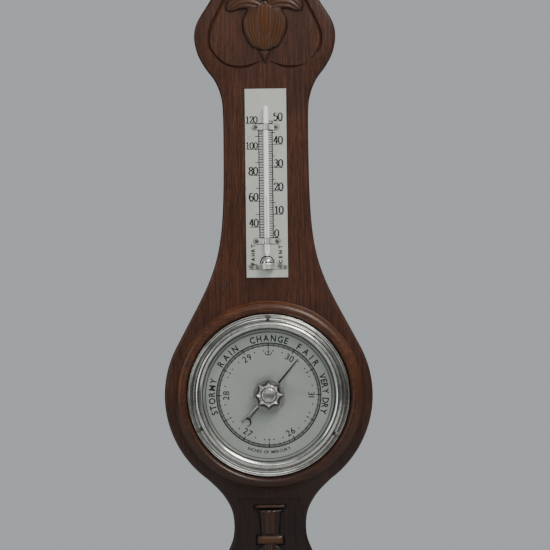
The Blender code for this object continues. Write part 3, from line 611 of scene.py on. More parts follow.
def carving(name, x_range, y_range, fields, nodes, base):
    """A carved relief from the highest of several leaf fields, with its foot sunk into the board."""
    step = 0.5
    xs = np.arange(x_range[0], x_range[1] + step / 2, step)
    ys = np.arange(y_range[0], y_range[1] + step / 2, step)
    grid_x, grid_y = np.meshgrid(xs, ys)
    heights = np.max([field(grid_x, grid_y) for field in fields], axis=0)
    inside = heights > 0
    heights = np.clip(heights, 0, 5.5)
    for _ in range(2):
        padded = np.pad(heights, 1, mode="edge")
        blurred = (
            padded[:-2, 1:-1] + padded[2:, 1:-1] + padded[1:-1, :-2] + padded[1:-1, 2:] + 4 * heights
        ) / 8
        heights = np.where(inside, blurred, 0)
    z = np.where(inside, base + heights, base - 0.6)
    verts = np.column_stack([grid_x.ravel(), grid_y.ravel(), z.ravel()])
    columns = len(xs)
    faces = []
    for row in range(len(ys) - 1):
        for column in range(columns - 1):
            if inside[row:row + 2, column:column + 2].any():
                a = row * columns + column
                faces.append((a, a + 1, a + columns + 1, a + columns))
    used, index = np.unique(faces, return_inverse=True)
    add(name, verts[used], index.reshape(-1, 4).tolist(), CARVED_OAK, "case", "case_wood", nodes, 180)


def leaves(*rows):
    """Leaves from petal_field's arguments. A leaf that starts right of the middle has a twin on the left."""
    twins = [([(-x, y) for x, y in spine], *shape) for spine, *shape in rows if spine[0][0] > 0]
    return [lambda x, y, row=row: petal_field(x, y, *row) for row in [*rows, *twins]]


def crest_fields():
    """A bud that hangs from a spray of curling leaves."""
    return leaves(
        ([(0, 392), (0, 381), (0, 368), (0, 352)], 11.5, 5.6, 5, 0.3, (0.25, 0.6)),
        ([(9, 392), (13.0, 381), (12.5, 366), (7.0, 348.5)], 8.4, 4.9, 5, 0.34, (0.45, 0.30)),
        ([(0, 375), (0, 366), (0, 356), (0, 345.4)], 10.5, 4.6, 6, 0.3, (0.5, 0.25)),
        ([(17, 383), (18.2, 375), (17.2, 365), (12.5, 354)], 4.6, 3.6, 2, 0.3, (0.4, 0.4)),
        ([(3, 392), (14, 396.5), (27, 395), (37.5, 386)], 10.0, 4.6, 4, 0.3, (0.3, 0.42)),
        ([(2, 398), (12, 411), (24, 413), (33, 404)], 7.0, 4.0, 3, 0.22),
        ([(1, 400), (7, 416), (13, 424), (19, 425)], 5.5, 3.8, 3, 0.2),
        ([(0, 396), (0, 412), (0, 425), (0, 437)], 7.0, 5.0, 3, 0.2),
    )


def slab(half_width, low, high, height, flutes=0, taper=0.0):
    """A rounded bar or column: round along y when it is a bar, round along x when it has flutes."""
    def field(x, y):
        middle, half = (low + high) / 2, (high - low) / 2
        v = (y - middle) / half
        w = half_width - taper * (1 - v) / 2
        u = x / w
        inside = (np.abs(u) < 1) & (np.abs(v) < 1)
        if flutes:
            ripple = 0.82 + 0.18 * np.abs(np.sin(flutes * math.pi * (u + 1) / 2))
            shape = np.sqrt(np.clip(1 - u**2, 0, 1)) ** 0.6 * ripple
        else:
            shape = np.sqrt(np.clip(1 - np.abs(v) ** 2.4, 0, 1) * np.clip(1 - np.abs(u) ** 6, 0, 1))
        return np.where(inside, height * shape, -1)
    return field


def base_fields():
    """Cap, fluted column, collar and hanging husk."""
    return [
        slab(16.5, -113.4, -108.6, 4.6), slab(13.0, -117.0, -113.6, 3.2),
        slab(11.2, -139.0, -115.5, 4.4, flutes=4, taper=1.8), slab(14.2, -149.8, -138.6, 5.3),
        *leaves(
            ([(0, -146), (0, -165), (0, -188), (0, -212)], 9.0, 5.2, 5, 0.22, (0.3, 0.6)),
            ([(3, -149), (9.5, -163), (12, -180), (7, -199)], 7.0, 4.4, 3, 0.22),
        ),
    ]


def make_crest_drop():
    """A three-sided pendant, stacked from shrinking copies of its outline."""
    middle, corners = 341, [(6.9, 345.6), (-6.9, 345.6), (0, 331.6)]
    loops = [
        [(x * scale, middle + (y - middle) * scale, SEAT + rise) for x, y in corners]
        for scale, rise in ((1.0, -0.6), (0.98, 0.3), (0.86, 1.3), (0.2, 3.1))
    ]
    add("carved_drop", *stacked(loops), CARVED_OAK, "case", "case_wood", ["crest_drop"], 20)


def make_moulding():
    """A turned ring round the bezel: a high swell that falls outwards to a small step."""
    inner, outer = BEZEL_RADIUS + 0.9, MOULDING_RADIUS
    swell = [(0, 0), (0, 2.6), (1.2, 4.9), (3.6, 6.3), (6.4, 6.0), (8.8, 4.6), (10.6, 2.6), (11.3, 1.6)]
    profile = smooth([(inner + out, rise) for out, rise in swell], 5)
    profile += [(outer - 0.7, 1.5), (outer, 1.1), (outer, 0)]
    add("turned_moulding", *turned(profile, 256, (0, 0, SEAT)), MOULDING_OAK, "case", "case_wood", ["dial_moulding"])


# ---------------------------------------------------------------- bezel, glass and screws


def screw_head(name, place, radius, height, slot_angle, material, slot, node, body="case", shank=4.0):
    """A domed, slotted screw head with a short length of shank."""
    x, y, z = place
    profile = [(0, -shank), (radius * 0.4, -shank), (radius * 0.4, 0), (radius * 0.93, 0), (radius, height * 0.18)]
    for i in range(1, 8):
        a = i / 8 * math.pi / 2
        profile.append((radius * math.cos(a) ** 0.8, height * (0.3 + 0.7 * math.sin(a))))
    profile.append((0, height))
    head = add(name, *turned(profile, 40, place), material, body, slot, [node])
    c, s = math.cos(slot_angle), math.sin(slot_angle)
    half, wide = radius * 1.2, radius * 0.16
    corners = [(half, wide), (-half, wide), (-half, -wide), (half, -wide)]
    notch = [(x + a * c - b * s, y + a * s + b * c) for a, b in corners]
    cut(head, prism(notch, z + height * 0.45, z + height * 2))


def make_bezel():
    top = BEZEL_FRONT
    rim = arc((BEZEL_RADIUS - 1.0, SEAT + 1.7), 1.0, 0, 150, 8)
    flange = [
        (BEZEL_RADIUS - 2.1, SEAT + 1.9), (BEZEL_RADIUS - 2.6, SEAT + 1.6), (76.0, SEAT + 1.6), (75.3, SEAT + 1.9),
    ]
    ridge = smooth([
        (75.0, SEAT + 3.0), (74.7, 33.0), (74.1, 34.9), (73.0, 36.4), (71.6, 37.2), (70.3, top),
        (69.0, top - 0.2), (68.0, top - 0.7), (67.4, top - 1.1),
    ], 4)
    inside = [(69.8, top - 1.1), (69.8, 29.2), (74.6, 29.2), (74.6, SEAT)]
    profile = [(BEZEL_RADIUS, SEAT)] + rim + flange + ridge + inside
    bezel = add("nickel_bezel", *turned(profile, 320), NICKEL, "case", "nickel", ["bezel"])
    hole, below, above = 1.4, SEAT - 1, SEAT + 3
    cut(bezel, *[
        drill(*clockwise(angle, BEZEL_SCREW_CIRCLE), hole, below, above, 20) for angle in BEZEL_SCREW_ANGLES
    ])
    for i, angle in enumerate(BEZEL_SCREW_ANGLES, 1):
        place = (*clockwise(angle, BEZEL_SCREW_CIRCLE), SEAT + 2.0)
        screw_head(f"bezel_screw_head_{i}", place, 2.6, 1.3, 0.5 + i, DARK_STEEL, "steel", f"bezel_screw_{i}")

    back = GLASS_FRONT - 2.0
    glass = [
        (2.2, back), (GLASS_RADIUS, back), (GLASS_RADIUS, GLASS_FRONT - 1.1), (63.2, GLASS_FRONT - 0.05),
        (62.6, GLASS_FRONT), (2.2, GLASS_FRONT),
    ]
    add("bevelled_glass", *turned(glass, 192), GLASS, "case", "clear_glass", ["glass"], 5)
    sight = [
        (62.8, DIAL_FRONT + 0.4), (63.5, DIAL_FRONT + 0.4), (64.0, 28.2), (GLASS_RADIUS, 33.1),
        (GLASS_RADIUS, 33.7), (68.6, 33.7), (63.4, 28.4),
    ]
    add("silvered_sight_ring", *turned(sight, 192), DIAL_SILVER, "case", "silvered", ["sight_ring"])
    # Painted shade: dark rings at the glass seating and at the sight ring's edge stand for the shadows in those
    # gaps.
    for name, radius, low, wide in (("seating_shade_line", 66.0, 31.05, 0.9), ("sight_edge_shade_line", 63.1, 28.15, 0.5)):
        near, far, thick = radius - wide / 2, radius + wide / 2, 0.15
        line = [(near, low), (far, low + wide), (far, low + wide + thick), (near, low + thick)]
        add(name, *turned(line, 192), SHADE_NICKEL, "case", "silvered")
    # Painted shade: a dark ring where the bezel's flange meets its ridge.
    junction = [(74.9, SEAT + 1.65), (75.6, SEAT + 1.65), (75.6, SEAT + 1.95), (74.9, SEAT + 2.3)]
    add("bezel_step_shade_line", *turned(junction, 192), SHADE_NICKEL, "case", "nickel")


# ---------------------------------------------------------------- lettering and scales


class Print:
    """Flat filled shapes that lie just above a plate, gathered into one piece."""

    def __init__(self, depth):
        self.depth = depth + PRINT_LIFT
        self.verts = []
        self.faces = []

    def shape(self, points, faces):
        start = len(self.verts)
        self.verts += [(x, y, self.depth) for x, y in points]
        self.faces += [tuple(start + i for i in face) for face in faces]

    def ribbon(self, points, widths, closed=False):
        """A line of varying width through points."""
        points = np.array(points, float)
        along = directions(points, closed)
        side = np.column_stack([-along[:, 1], along[:, 0]]) * (np.broadcast_to(widths, len(points)) / 2)[:, None]
        count = len(points)
        spans = count if closed else count - 1
        faces = [(i, (i + 1) % count, (i + 1) % count + count, i + count) for i in range(spans)]
        self.shape(np.concatenate([points - side, points + side]), faces)

    def line(self, start, end, width):
        self.ribbon([start, end], width)

    def ring(self, radius, width, steps=240):
        self.ribbon([clockwise(360 * i / steps, radius) for i in range(steps)], width, closed=True)

    def tick(self, angle, inner, outer, width):
        self.line(clockwise(angle, inner), clockwise(angle, outer), width)

    def dot(self, centre, radius, steps=12):
        self.shape([centre] + [
            (centre[0] + radius * math.cos(a), centre[1] + radius * math.sin(a))
            for a in np.arange(steps) * TURN / steps
        ], [(0, i + 1, (i + 1) % steps + 1) for i in range(steps)])

    def add(self, name, body, slot):
        piece = add(name, self.verts, self.faces, INK, body, slot)
        bm = bmesh.new()
        bm.from_mesh(piece.data)
        for face in bm.faces:
            if face.normal.y > 0:
                face.normal_flip()
        bm.to_mesh(piece.data)
        bm.free()


GLYPHS = {}


def glyph(character, weight):
    """(points, faces, width) of a sans-serif character with a capital height of 1."""
    key = (character, weight)
    if key not in GLYPHS:
        measured = []
        for text in ("H", character):
            curve = bpy.data.curves.new("glyph", "FONT")
            curve.body = text
            curve.offset = weight
            curve.resolution_u = 4
            holder = bpy.data.objects.new("glyph", curve)
            bpy.context.scene.collection.objects.link(holder)
            bpy.context.view_layer.update()
            mesh = holder.evaluated_get(bpy.context.evaluated_depsgraph_get()).to_mesh()
            points = np.array([v.co[:2] for v in mesh.vertices]).reshape(-1, 2)
            faces = [tuple(p.vertices) for p in mesh.polygons]
            measured.append((points, faces))
            bpy.data.objects.remove(holder)
        capital = np.ptp(measured[0][0][:, 1])
        foot = measured[0][0][:, 1].min()
        points, faces = measured[1]
        points = (points - np.array([points[:, 0].min(), foot])) / capital
        GLYPHS[key] = (points, faces, points[:, 0].max())
    return GLYPHS[key]


def arc_word(sheet, text, start, end, radius, height, weight=0.02, narrow=1.0, space=0.45):
    """Sets text along an arc between two angles. It runs clockwise with its foot at the radius, or, when end is
    the smaller angle, the other way round and centred on the radius, so that it reads upright at the foot."""
    lower = end < start
    foot = -radius - height / 2 if lower else radius
    glyphs = [None if c == " " else glyph(c, weight) for c in text]
    widths = [space * height if g is None else g[2] * height * narrow for g in glyphs]
    length = math.radians(abs(end - start)) * radius
    gap = (length - sum(widths)) / (len(text) - 1)
    place = 0.0
    for g, width in zip(glyphs, widths):
        if g is not None:
            passed = math.degrees((place + width / 2) / radius)
            angle = start - passed - 180 if lower else start + passed
            local = g[0] * height * np.array([narrow, 1]) + np.array([-width / 2, foot])
            sheet.shape(turn_clockwise(local, angle), g[1])
        place += width + gap


def number(sheet, text, centre, height, turn=0.0, weight=0.015, gap=0.16):
    """Sets text about a centre point, turned clockwise by turn degrees."""
    glyphs = [glyph(c, weight) for c in text]
    total = sum(g[2] for g in glyphs) * height + gap * height * (len(text) - 1)
    place = -total / 2
    for g in glyphs:
        local = g[0] * height + np.array([place, -height / 2])
        sheet.shape(turn_clockwise(local, turn) + np.array(centre), g[1])
        place += (g[2] + gap) * height


def inch_angle(inches):
    return (inches - TOP_INCH) * INCH_ANGLE


def make_dial():
    disc = [(2.6, DIAL_FRONT - 1), (DIAL_RADIUS, DIAL_FRONT - 1), (DIAL_RADIUS, DIAL_FRONT), (2.6, DIAL_FRONT)]
    add("silvered_dial_disc", *turned(disc, 192), DIAL_SILVER, "case", "silvered", ["dial_plate"])
    sheet = Print(DIAL_FRONT)
    sheet.ring(SCALE_RADIUS, 1.0)
    sheet.ring(SCALE_RADIUS - 2.6, 0.7)
    fine = 0.01
    for i in range(round(360 / INCH_ANGLE / fine)):
        length, width = (5.2, 0.8) if i % 50 == 0 else (3.8, 0.45) if i % 10 == 0 else (2.6, 0.28)
        sheet.tick(i * fine * INCH_ANGLE, SCALE_RADIUS - length, SCALE_RADIUS, width)
    for inches in range(26, 32):
        angle = inch_angle(inches)
        upright = angle if inches >= 28 else angle + 180
        number(sheet, str(inches), clockwise(angle, 42.6), 6.2, upright, 0.01)
        for tenth in (0.2, 0.4, 0.6, 0.8):
            sheet.dot(clockwise(angle + tenth * INCH_ANGLE, 44.5), 0.72)
        if inches != 29:
            half_inch = angle + INCH_ANGLE / 2
            sheet.tick(half_inch, 43.0, 46.0, 0.6)
            sheet.ribbon([clockwise(half_inch - 1.4, 44.5), clockwise(half_inch + 1.4, 44.5)], 0.6)
    make_ornament(sheet)
    for text, start, end in (
        ("STORMY", -109.6, -72.4), ("RAIN", -58.9, -32.8), ("CHANGE", -18.9, 20.4), ("FAIR", 31.0, 58.9),
        ("VERY DRY", 68.4, 110.0),
    ):
        arc_word(sheet, text, start, end, SCALE_RADIUS + 1.5, 6.5, 0.025, 0.88)
    arc_word(sheet, "INCHES OF MERCURY", 202, 158, SCALE_RADIUS + 4.6, 3.0, 0.03, space=0.5)
    sheet.add("dial_engraving", "case", "silvered")


def make_ornament(sheet):
    """A small anchor-like figure that marks the top of the scale."""
    sheet.ribbon([(0, 47.4), (0, 44.5), (0, 40.0), (0, 39.3)], [0.6, 0.9, 0.7, 0.3])
    for side in (-1, 1):
        sheet.ribbon(smooth([(0, 40.4), (side * 1.6, 40.2), (side * 2.9, 41.3), (side * 3.4, 43.0)], 5), 0.75)
        sheet.ribbon(smooth([(0, 43.4), (side * 1.1, 43.0), (side * 1.7, 44.0)], 4), 0.45)


# Old-style numerals: strokes in a box of height 1. Each stroke is a list of points for a smooth curve.
NUMERALS = {
    "0": [[(0.28, 1.0), (0.08, 0.82), (0.03, 0.5), (0.08, 0.18), (0.28, 0.0), (0.48, 0.18), (0.53, 0.5),
           (0.48, 0.82), (0.28, 1.0)]],
    "1": [[(0.10, 0.82), (0.29, 0.99)], [(0.30, 1.0), (0.30, 0.5), (0.30, 0.0)], [(0.10, 0.03), (0.50, 0.03)]],
    "2": [[(0.07, 0.72), (0.12, 0.92), (0.30, 1.0), (0.48, 0.88), (0.47, 0.66), (0.28, 0.36), (0.05, 0.05)],
          [(0.04, 0.06), (0.28, 0.05), (0.53, 0.06)], [(0.52, 0.06), (0.55, 0.24)]],
    "3": [[(0.07, 0.86), (0.27, 1.0), (0.46, 0.84), (0.42, 0.62), (0.22, 0.54)],
          [(0.22, 0.54), (0.47, 0.44), (0.50, 0.20), (0.28, 0.0), (0.05, 0.13)]],
    "4": [[(0.38, 0.98), (0.03, 0.30)], [(0.03, 0.30), (0.56, 0.30)], [(0.40, 1.0), (0.40, 0.5), (0.40, 0.0)]],
    "5": [[(0.13, 0.97), (0.48, 0.97)], [(0.13, 0.97), (0.10, 0.54)],
          [(0.10, 0.54), (0.30, 0.63), (0.50, 0.46), (0.49, 0.18), (0.28, 0.0), (0.05, 0.12)]],
    "6": [[(0.47, 0.90), (0.30, 1.0), (0.10, 0.76), (0.04, 0.40), (0.12, 0.08), (0.29, 0.0), (0.49, 0.12),
           (0.50, 0.40), (0.30, 0.57), (0.09, 0.42)]],
    "8": [[(0.28, 0.54), (0.09, 0.70), (0.12, 0.92), (0.28, 1.0), (0.44, 0.92), (0.46, 0.70), (0.28, 0.54),
           (0.05, 0.36), (0.07, 0.10), (0.28, 0.0), (0.49, 0.10), (0.51, 0.36), (0.28, 0.54)]],
}


NUMERAL_STEP = 0.62


def numeral_text(sheet, text, left, foot, height, thick=0.2, thin=0.1):
    """Numerals with thick downstrokes and thin cross strokes."""
    place = left
    for character in text:
        for stroke in NUMERALS[character]:
            curve = np.array(smooth(stroke, 6 if len(stroke) > 2 else 2))
            widths = thin + (thick - thin) * np.abs(directions(curve)[:, 1]) ** 1.6
            sheet.ribbon(curve * height + np.array([place, foot]), widths * height)
        place += NUMERAL_STEP * height


# ---------------------------------------------------------------- hands and knob


def indicating_hand_outline():
    """A fine pointer towards +y and a crescent tail, with its horns pointing away from the hub."""
    crescent, outer, inner, horn = -34.7, 4.6, 3.5, 42
    half = [(0.42, 46.0), (1.1, 2.8)] + arc((0, 0), 3.0, 60, -75, 10) + [(0.5, -3.0), (0.5, -30.4)]
    half += arc((0, crescent), outer, 78, -90 + horn, 14) + arc((0, crescent - 0.8), inner, -90 + horn, 90, 12)
    return mirrored(half)


def make_hands():
    reading_angle = inch_angle(READING)
    verts, faces = prism(indicating_hand_outline(), HAND_DEPTH, HAND_DEPTH + 0.5)
    hand = add(
        "pressure_hand", turn_clockwise(verts, reading_angle), faces, BLUED, "hand", "blued_steel",
        ["indicating_hand"],
    )
    hand.modifiers.new("softened", "BEVEL").width = 0.0001
    pipe = [(1.3, 28.5), (2.2, 28.5), (2.2, 29.9), (1.9, 30.1), (1.3, 30.1)]
    add("pressure_hand_pipe", *turned(pipe, 48), BRASS, "hand", "brass")

    outline = [(0.3, 38.2)] + arc((0, 0), 3.6, 66, -246, 28) + [(-0.3, 38.2)]
    ridge = [(x * 0.12, y * 0.99 if y > 4 else y * 0.6, SET_HAND_DEPTH + 0.6) for x, y in outline]
    loops = [[(x, y, SET_HAND_DEPTH + rise) for x, y in outline] for rise in (0, 0.2)] + [ridge]
    # Painted shadow: a dark outline just under the marker hand.
    shadow_border = [(x + math.copysign(0.45, x), y) for x, y in outline]
    verts, faces = prism(shadow_border, SET_HAND_DEPTH - 0.12, SET_HAND_DEPTH + 0.02)
    add("marker_hand_edge", turn_clockwise(verts, SET_HAND_ANGLE), faces, SHADE_NICKEL, "set_hand", "nickel")
    verts, faces = stacked(loops)
    add(
        "marker_hand", turn_clockwise(verts, SET_HAND_ANGLE), faces, KNOB_NICKEL, "set_hand", "nickel",
        ["set_hand"], 12,
    )


def star_radius(angle, point, valley, flutes=8):
    """Radius of a knob with concave flutes between rounded points, at an angle from one of its points."""
    half = math.pi / flutes
    chord_half = point * math.sin(half)
    sagitta = point * math.cos(half) - valley
    flute = (chord_half**2 + sagitta**2) / (2 * sagitta)
    centre = valley + flute
    offset = (angle % (2 * half)) - half
    return centre * math.cos(offset) - math.sqrt(max(flute**2 - (centre * math.sin(offset)) ** 2, 0))


def fluted(rings):
    """Stacks loops given as (point radius, valley radius, rise above the back of the knob)."""
    angles = np.arange(192) * TURN / 192
    loops = []
    for point, valley, rise in rings:
        radii = [point if point == valley else star_radius(a, point, valley) for a in angles]
        loops.append([(r * math.sin(a), r * math.cos(a), KNOB_BACK + rise) for r, a in zip(radii, angles)])
    return stacked(loops)


def make_knob():
    axis_point = (0, 0, KNOB_BACK)
    skirt = [(0.5, 0.0), (15.2, 0.0), (15.6, 0.2), (15.6, 0.6), (15.4, 0.8), (0.5, 0.8)]
    add("knob_skirt", *turned(skirt, 128, axis_point), KNOB_NICKEL, "set_hand", "nickel")
    # Painted shade: the deep flutes of the knob are dark nickel.
    add("knob_flutes_painted_shade", *fluted([(15.1, 12.4, 0.8), (14.8, 11.2, 1.5), (14.1, 10.2, 3.2), (13.9, 9.9, 3.7)]),
        SHADE_NICKEL, "set_hand", "nickel", (), 50)
    rings = [
        (13.9, 9.9, 3.7), (13.7, 9.7, 4.2), (13.2, 9.4, 4.5), (12.4, 9.0, 4.5), (11.0, 8.6, 4.2), (9.6, 8.0, 3.9),
        (8.6, 7.6, 3.75), (7.2, 7.2, 3.8), (7.0, 7.0, 4.2), (7.0, 7.0, 6.4), (6.8, 6.8, 7.0), (6.3, 6.3, 7.45),
        (5.6, 5.6, 7.6), (5.0, 5.0, 7.5), (2.5, 2.5, 7.25), (0.2, 0.2, 7.2),
    ]
    add("fluted_knob", *fluted(rings), KNOB_NICKEL, "set_hand", "nickel", ["set_knob"], 50)
    foot = [(7.02, 3.7), (8.0, 3.7), (8.0, 3.85), (7.6, 4.0), (7.02, 4.3)]
    add("knob_boss_shadow", *turned(foot, 96, axis_point), SHADE_NICKEL, "set_hand", "nickel")
    spindle = [(0, 31.4), (1.6, 31.4), (1.6, 36.1), (0, 36.1)]
    add("marker_spindle", *turned(spindle, 48), STEEL, "set_hand", "nickel", ["set_spindle"])


# ---------------------------------------------------------------- thermometer


def make_thermometer_plate():
    low, high = PLATE_LOW, PLATE_HIGH
    edge = 0.25
    loops = []
    for shrink, z in ((0, low[2]), (0, high[2] - edge), (edge, high[2])):
        loops.append([
            (high[0] - shrink, low[1] + shrink, z), (high[0] - shrink, high[1] - shrink, z),
            (low[0] + shrink, high[1] - shrink, z), (low[0] + shrink, low[1] + shrink, z),
        ])
    plate = add("silvered_plate", *stacked(loops), PLATE_SILVER, "case", "silvered", ["thermometer_plate"])
    cut(plate, drill(0, BULB_HEIGHT, BULB_RADIUS + 1, low[2] - 1, high[2] + 1))

    sheet = Print(high[2])
    left, right = -7.1, 6.4
    for degree in range(32, 122, 2):
        y = FAHRENHEIT_ZERO + degree * FAHRENHEIT_DEGREE
        sheet.line((left, y), (-TUBE_RADIUS - 0.2, y), 0.75)
        if degree % 10 == 0 and degree % 20:
            sheet.line((left - 3.8, y), (left, y), 0.7)
    for degree in range(0, 51):
        y = CENTIGRADE_ZERO + degree * CENTIGRADE_DEGREE
        sheet.line((TUBE_RADIUS + 0.2, y), (right, y), 0.75)
        if degree % 5 == 0 and degree % 10:
            sheet.line((right, y), (right + 2.9, y), 0.7)
    for x, low_y, high_y in (
        (left, FAHRENHEIT_ZERO + 32 * FAHRENHEIT_DEGREE, FAHRENHEIT_ZERO + 120 * FAHRENHEIT_DEGREE),
        (right, CENTIGRADE_ZERO, CENTIGRADE_ZERO + 50 * CENTIGRADE_DEGREE),
    ):
        sheet.line((x, low_y), (x, high_y), 1.0)
    height = 7.6
    for degree in (40, 60, 80, 100, 120):
        text = str(degree)
        y = FAHRENHEIT_ZERO + degree * FAHRENHEIT_DEGREE
        size = height * (0.86 if len(text) == 3 else 1)
        width = NUMERAL_STEP * size * len(text)
        numeral_text(sheet, text, left - 0.9 - width, y + 0.6, size)
        sheet.line((left - 0.4 - width, y), (left, y), 0.6)
    for degree in (0, 10, 20, 30, 40, 50):
        text = str(degree)
        y = CENTIGRADE_ZERO + degree * CENTIGRADE_DEGREE
        width = NUMERAL_STEP * height * len(text)
        numeral_text(sheet, text, right + 1.3, y + 0.6, height)
        sheet.line((right, y), (right + 0.9 + width, y), 0.6)
    number(sheet, "FAHRT", (-14.0, 140.6), 3.9, -90, 0.05, 0.26)
    number(sheet, "CENT", (13.4, 140.6), 3.9, -90, 0.05, 0.45)
    sheet.line((-19.6, 125.7), (18.2, 125.7), 0.45)
    sheet.add("thermometer_engraving", "case", "silvered")


def make_tube():
    length = TUBE_HIGH[1] - TUBE_LOW[1]
    dome = [(TUBE_RADIUS * math.cos(a), TUBE_RADIUS * math.sin(a)) for a in np.linspace(0, math.pi / 2, 8)[:-1]]
    profile = [(0, 0), (1.5, 0), (1.9, 1.5), (2.3, 3.0), (TUBE_RADIUS, 5.0)]
    profile += [(radius, length - TUBE_RADIUS + rise) for radius, rise in dome] + [(0, length)]
    place = (0, TUBE_LOW[1], TUBE_DEPTH)
    add("opal_tube", *turned(profile, 48, place, "y"), GLOWING_OPAL, "case", "opal_glass", ["thermometer_tube"])
    top = FAHRENHEIT_ZERO + TEMPERATURE_F * FAHRENHEIT_DEGREE
    foot, bore = TUBE_LOW[1] + 5, 0.35
    thread = [(0, 0), (bore, 0), (bore, top - foot), (0, top - foot)]
    place = (0, foot, TUBE_DEPTH + TUBE_RADIUS - 0.22)
    add("mercury_thread", *turned(thread, 16, place, "y"), MERCURY, "case", "mercury")

    bulb = [
        (BULB_RADIUS * math.sin(a), -BULB_RADIUS * math.cos(a) * (0.84 if a < math.pi / 2 else 0.96))
        for a in np.linspace(0, math.pi, 32)
    ]
    bulb[0], bulb[-1] = (0, bulb[0][1]), (0, bulb[-1][1])
    place = (0, BULB_HEIGHT, BULB_DEPTH)
    add("silver_bulb", *turned(bulb, 64, place, "y"), MERCURY, "case", "mercury", ["mercury_bulb"])

    steps = 40
    cup = [
        (0.4, -6.6), (6.9, -6.6), (7.2, -6.3), (7.2, -5.0), (6.95, -4.7), (6.95, -2.8), (7.2, -2.5), (7.4, -2.1),
        (7.4, -1.0), (7.2, -0.7), (6.9, -0.7), (6.8, -6.0), (0.4, -6.2),
    ]
    loops = []
    for i in range(steps + 1):
        a = math.pi * i / steps
        loops.append([(r * math.cos(a), BULB_HEIGHT + y, BULB_DEPTH + r * math.sin(a)) for r, y in cup])
    add("nickel_cup", *stacked(loops), TIN, "case", "nickel", ["bulb_cup"])


def make_clips():
    """Two straps over the tube, each with a painted shade line round its edge and a pin at either side."""
    low, thick, reach, half = PLATE_HIGH[2] + 0.3, 0.6, 13.3, 2.65
    inner, level, pin_place = TUBE_RADIUS + 0.3, low + thick / 2, 10.2
    left = [(-reach, level), (-inner - 1.3, level), (-inner - 0.5, level + 0.4)]
    bend = arc((0, TUBE_DEPTH), inner + thick / 2, 180, 0, 18)
    centre_line = left + bend + [(-x, z) for x, z in reversed(left)]
    spans = [np.linspace(start, end, 6, endpoint=False) for start, end in zip(centre_line, centre_line[1:])]
    points = np.concatenate(spans + [centre_line[-1:]])
    along = directions(points)
    across = np.column_stack([-along[:, 1], along[:, 0]]) * thick / 2
    for strap, side_name in enumerate(("upper", "lower")):
        name, node = f"{side_name}_strap", f"{side_name}_tube_clip"
        node_low, node_high = millimetres(node)
        y = (node_low[1] + node_high[1]) / 2
        # Each strap sits on a larger dark copy, a painted shade line round its edge.
        for label, material, grown, sunk, covers in (
            (name, TIN, 0.0, 0.0, [node]), (name + "_edge", SHADE_NICKEL, 0.4, 0.35, [])
        ):
            loops = []
            for point, up in zip(points, across):
                from_end = reach - abs(point[0])
                wide = half * math.sqrt(max(1 - max(0.0, 1 - from_end / half) ** 2, 0.02)) + grown
                spread = np.array([1 + grown / reach, 1])
                upper, lower = (point + up * (1 - 2 * sunk)) * spread, (point - up) * spread
                loops.append([
                    (upper[0], y - wide, upper[1]), (upper[0], y + wide, upper[1]),
                    (lower[0], y + wide, lower[1]), (lower[0], y - wide, lower[1]),
                ])
            add(label, *stacked(loops), material, "case", "nickel", covers, 50)
        for pin, x in ((2 * strap + 1, -pin_place), (2 * strap + 2, pin_place)):
            place = (x, y, low + thick)
            screw_head(f"pin_head_{pin}", place, 2.1, 1.1, 0.7 * pin, DARK_STEEL, "steel", f"clip_pin_{pin}")


# ---------------------------------------------------------------- surroundings

ROOM_DARK, ROOM_BRIGHT = 0.03, 0.52
BACKDROP = (0.40, 0.42, 0.44)


def add_area_light(name, place, aim, size, power, colour):
    data = bpy.data.lights.new(name, "AREA")
    data.shape = "RECTANGLE"
    data.size, data.size_y = size
    data.energy = power
    data.color = colour
    lamp = bpy.data.objects.new(name, data)
    bpy.context.scene.collection.objects.link(lamp)
    lamp.location = place
    lamp.rotation_euler = (Vector(aim) - Vector(place)).to_track_quat("-Z", "Y").to_euler()


def make_world():
    """A pale plain background, lit as a dim room that is brightest above and to the right."""
    world = bpy.data.worlds.new("pale_studio")
    world.use_nodes = True
    world.node_tree.nodes.clear()
    bpy.context.scene.world = world
    w = Tree(world.node_tree)
    direction = w.node("ShaderNodeSeparateXYZ", {0: w.node("ShaderNodeTexCoord").outputs["Generated"]}).outputs
    upward = w.range(direction["Z"], ROOM_DARK, ROOM_BRIGHT, -0.08, 0.7)
    rightward = {0: direction["X"], 1: 0.10, 2: upward}
    strength = w.node("ShaderNodeMath", rightward, operation="MULTIPLY_ADD").outputs[0]
    room = w.node("ShaderNodeBackground", {"Color": (0.94, 0.98, 1.0), "Strength": strength}).outputs[0]
    backdrop = w.node("ShaderNodeBackground", {"Color": BACKDROP}).outputs[0]
    seen = w.node("ShaderNodeLightPath").outputs["Is Camera Ray"]
    mixed = w.node("ShaderNodeMixShader", {0: seen, 1: room, 2: backdrop}).outputs[0]
    w.node("ShaderNodeOutputWorld", {"Surface": mixed})


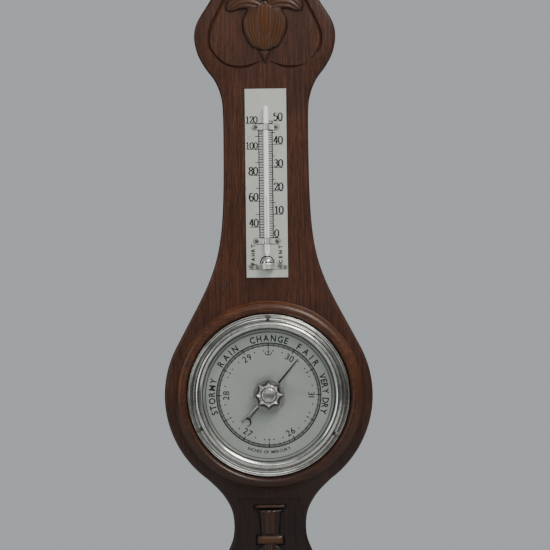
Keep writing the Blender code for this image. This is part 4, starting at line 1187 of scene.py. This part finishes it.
def make_surroundings():
    make_world()
    floor_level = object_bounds()[0][2] - 0.004
    half, back = 2.2, 0.6
    corners = [(x, y, floor_level) for x, y in ((-half, -half), (half, -half), (half, back), (-half, back))]
    mesh = bpy.data.meshes.new("floor")
    mesh.from_pydata(corners, [], [(0, 1, 2, 3)])
    pale = Nodes("pale_floor", Specular_IOR_Level=0.2)
    pale.set("Base Color", pale.ramp(pale.noise(400.0), (0.3, (0.56, 0.57, 0.58)), (0.7, (0.60, 0.61, 0.62))))
    pale.set("Roughness", 0.8)
    mesh.materials.append(pale.material)
    floor = bpy.data.objects.new("floor", mesh)
    bpy.context.scene.collection.objects.link(floor)
    for light in (
        ("key_light", (0.9, -1.5, 1.9), (0, 0, 0.1), (1.0, 0.8), 40, (1.0, 0.96, 0.90)),
        ("fill_light", (-1.8, -1.4, 0.5), (0, 0, 0.1), (1.0, 1.4), 9, (0.90, 0.95, 1.0)),
        ("window_light", (0.4, -3.3, 1.5), (0, 0, 0.2), (1.8, 1.1), 14, (0.94, 0.97, 1.0)),
        ("back_light", (-0.8, 1.6, 1.4), (0, 0, 0.1), (1.4, 1.2), 14, (1.0, 0.99, 0.97)),
    ):
        add_area_light(*light)


def make_camera():
    """A long lens a little below the middle, tipped up, with the slight roll of a hand-held view."""
    distance, view_width, sensor = 3.0, 0.55, 36
    pitch, roll = math.radians(1.5), math.radians(-0.66)
    target = Vector((0.0076, -FRONT / 1000, 0.1200))
    data = bpy.data.cameras.new("camera")
    data.sensor_width = sensor
    data.lens = sensor * distance / view_width
    data.clip_end = 50
    camera = bpy.data.objects.new("camera", data)
    bpy.context.scene.collection.objects.link(camera)
    back = Vector((0, -math.cos(pitch), -math.sin(pitch)))
    camera.location = target + back * distance
    facing = (-back).to_track_quat("-Z", "Y").to_matrix()
    camera.rotation_euler = (facing @ Matrix.Rotation(roll, 3, "Z")).to_euler()
    bpy.context.scene.camera = camera


finish_cad_nodes()
make_case()
carving("carved_crest", (-40, 40), (343, 440), crest_fields(), ["crest_carving"], SEAT - 0.3)
carving("carved_base", (-20, 20), (-214, -107), base_fields(), ["base_carving"], FRONT - 1.3)
make_crest_drop()
make_moulding()
make_bezel()
make_dial()
make_hands()
make_knob()
make_thermometer_plate()
make_tube()
make_clips()
make_surroundings()
make_camera()
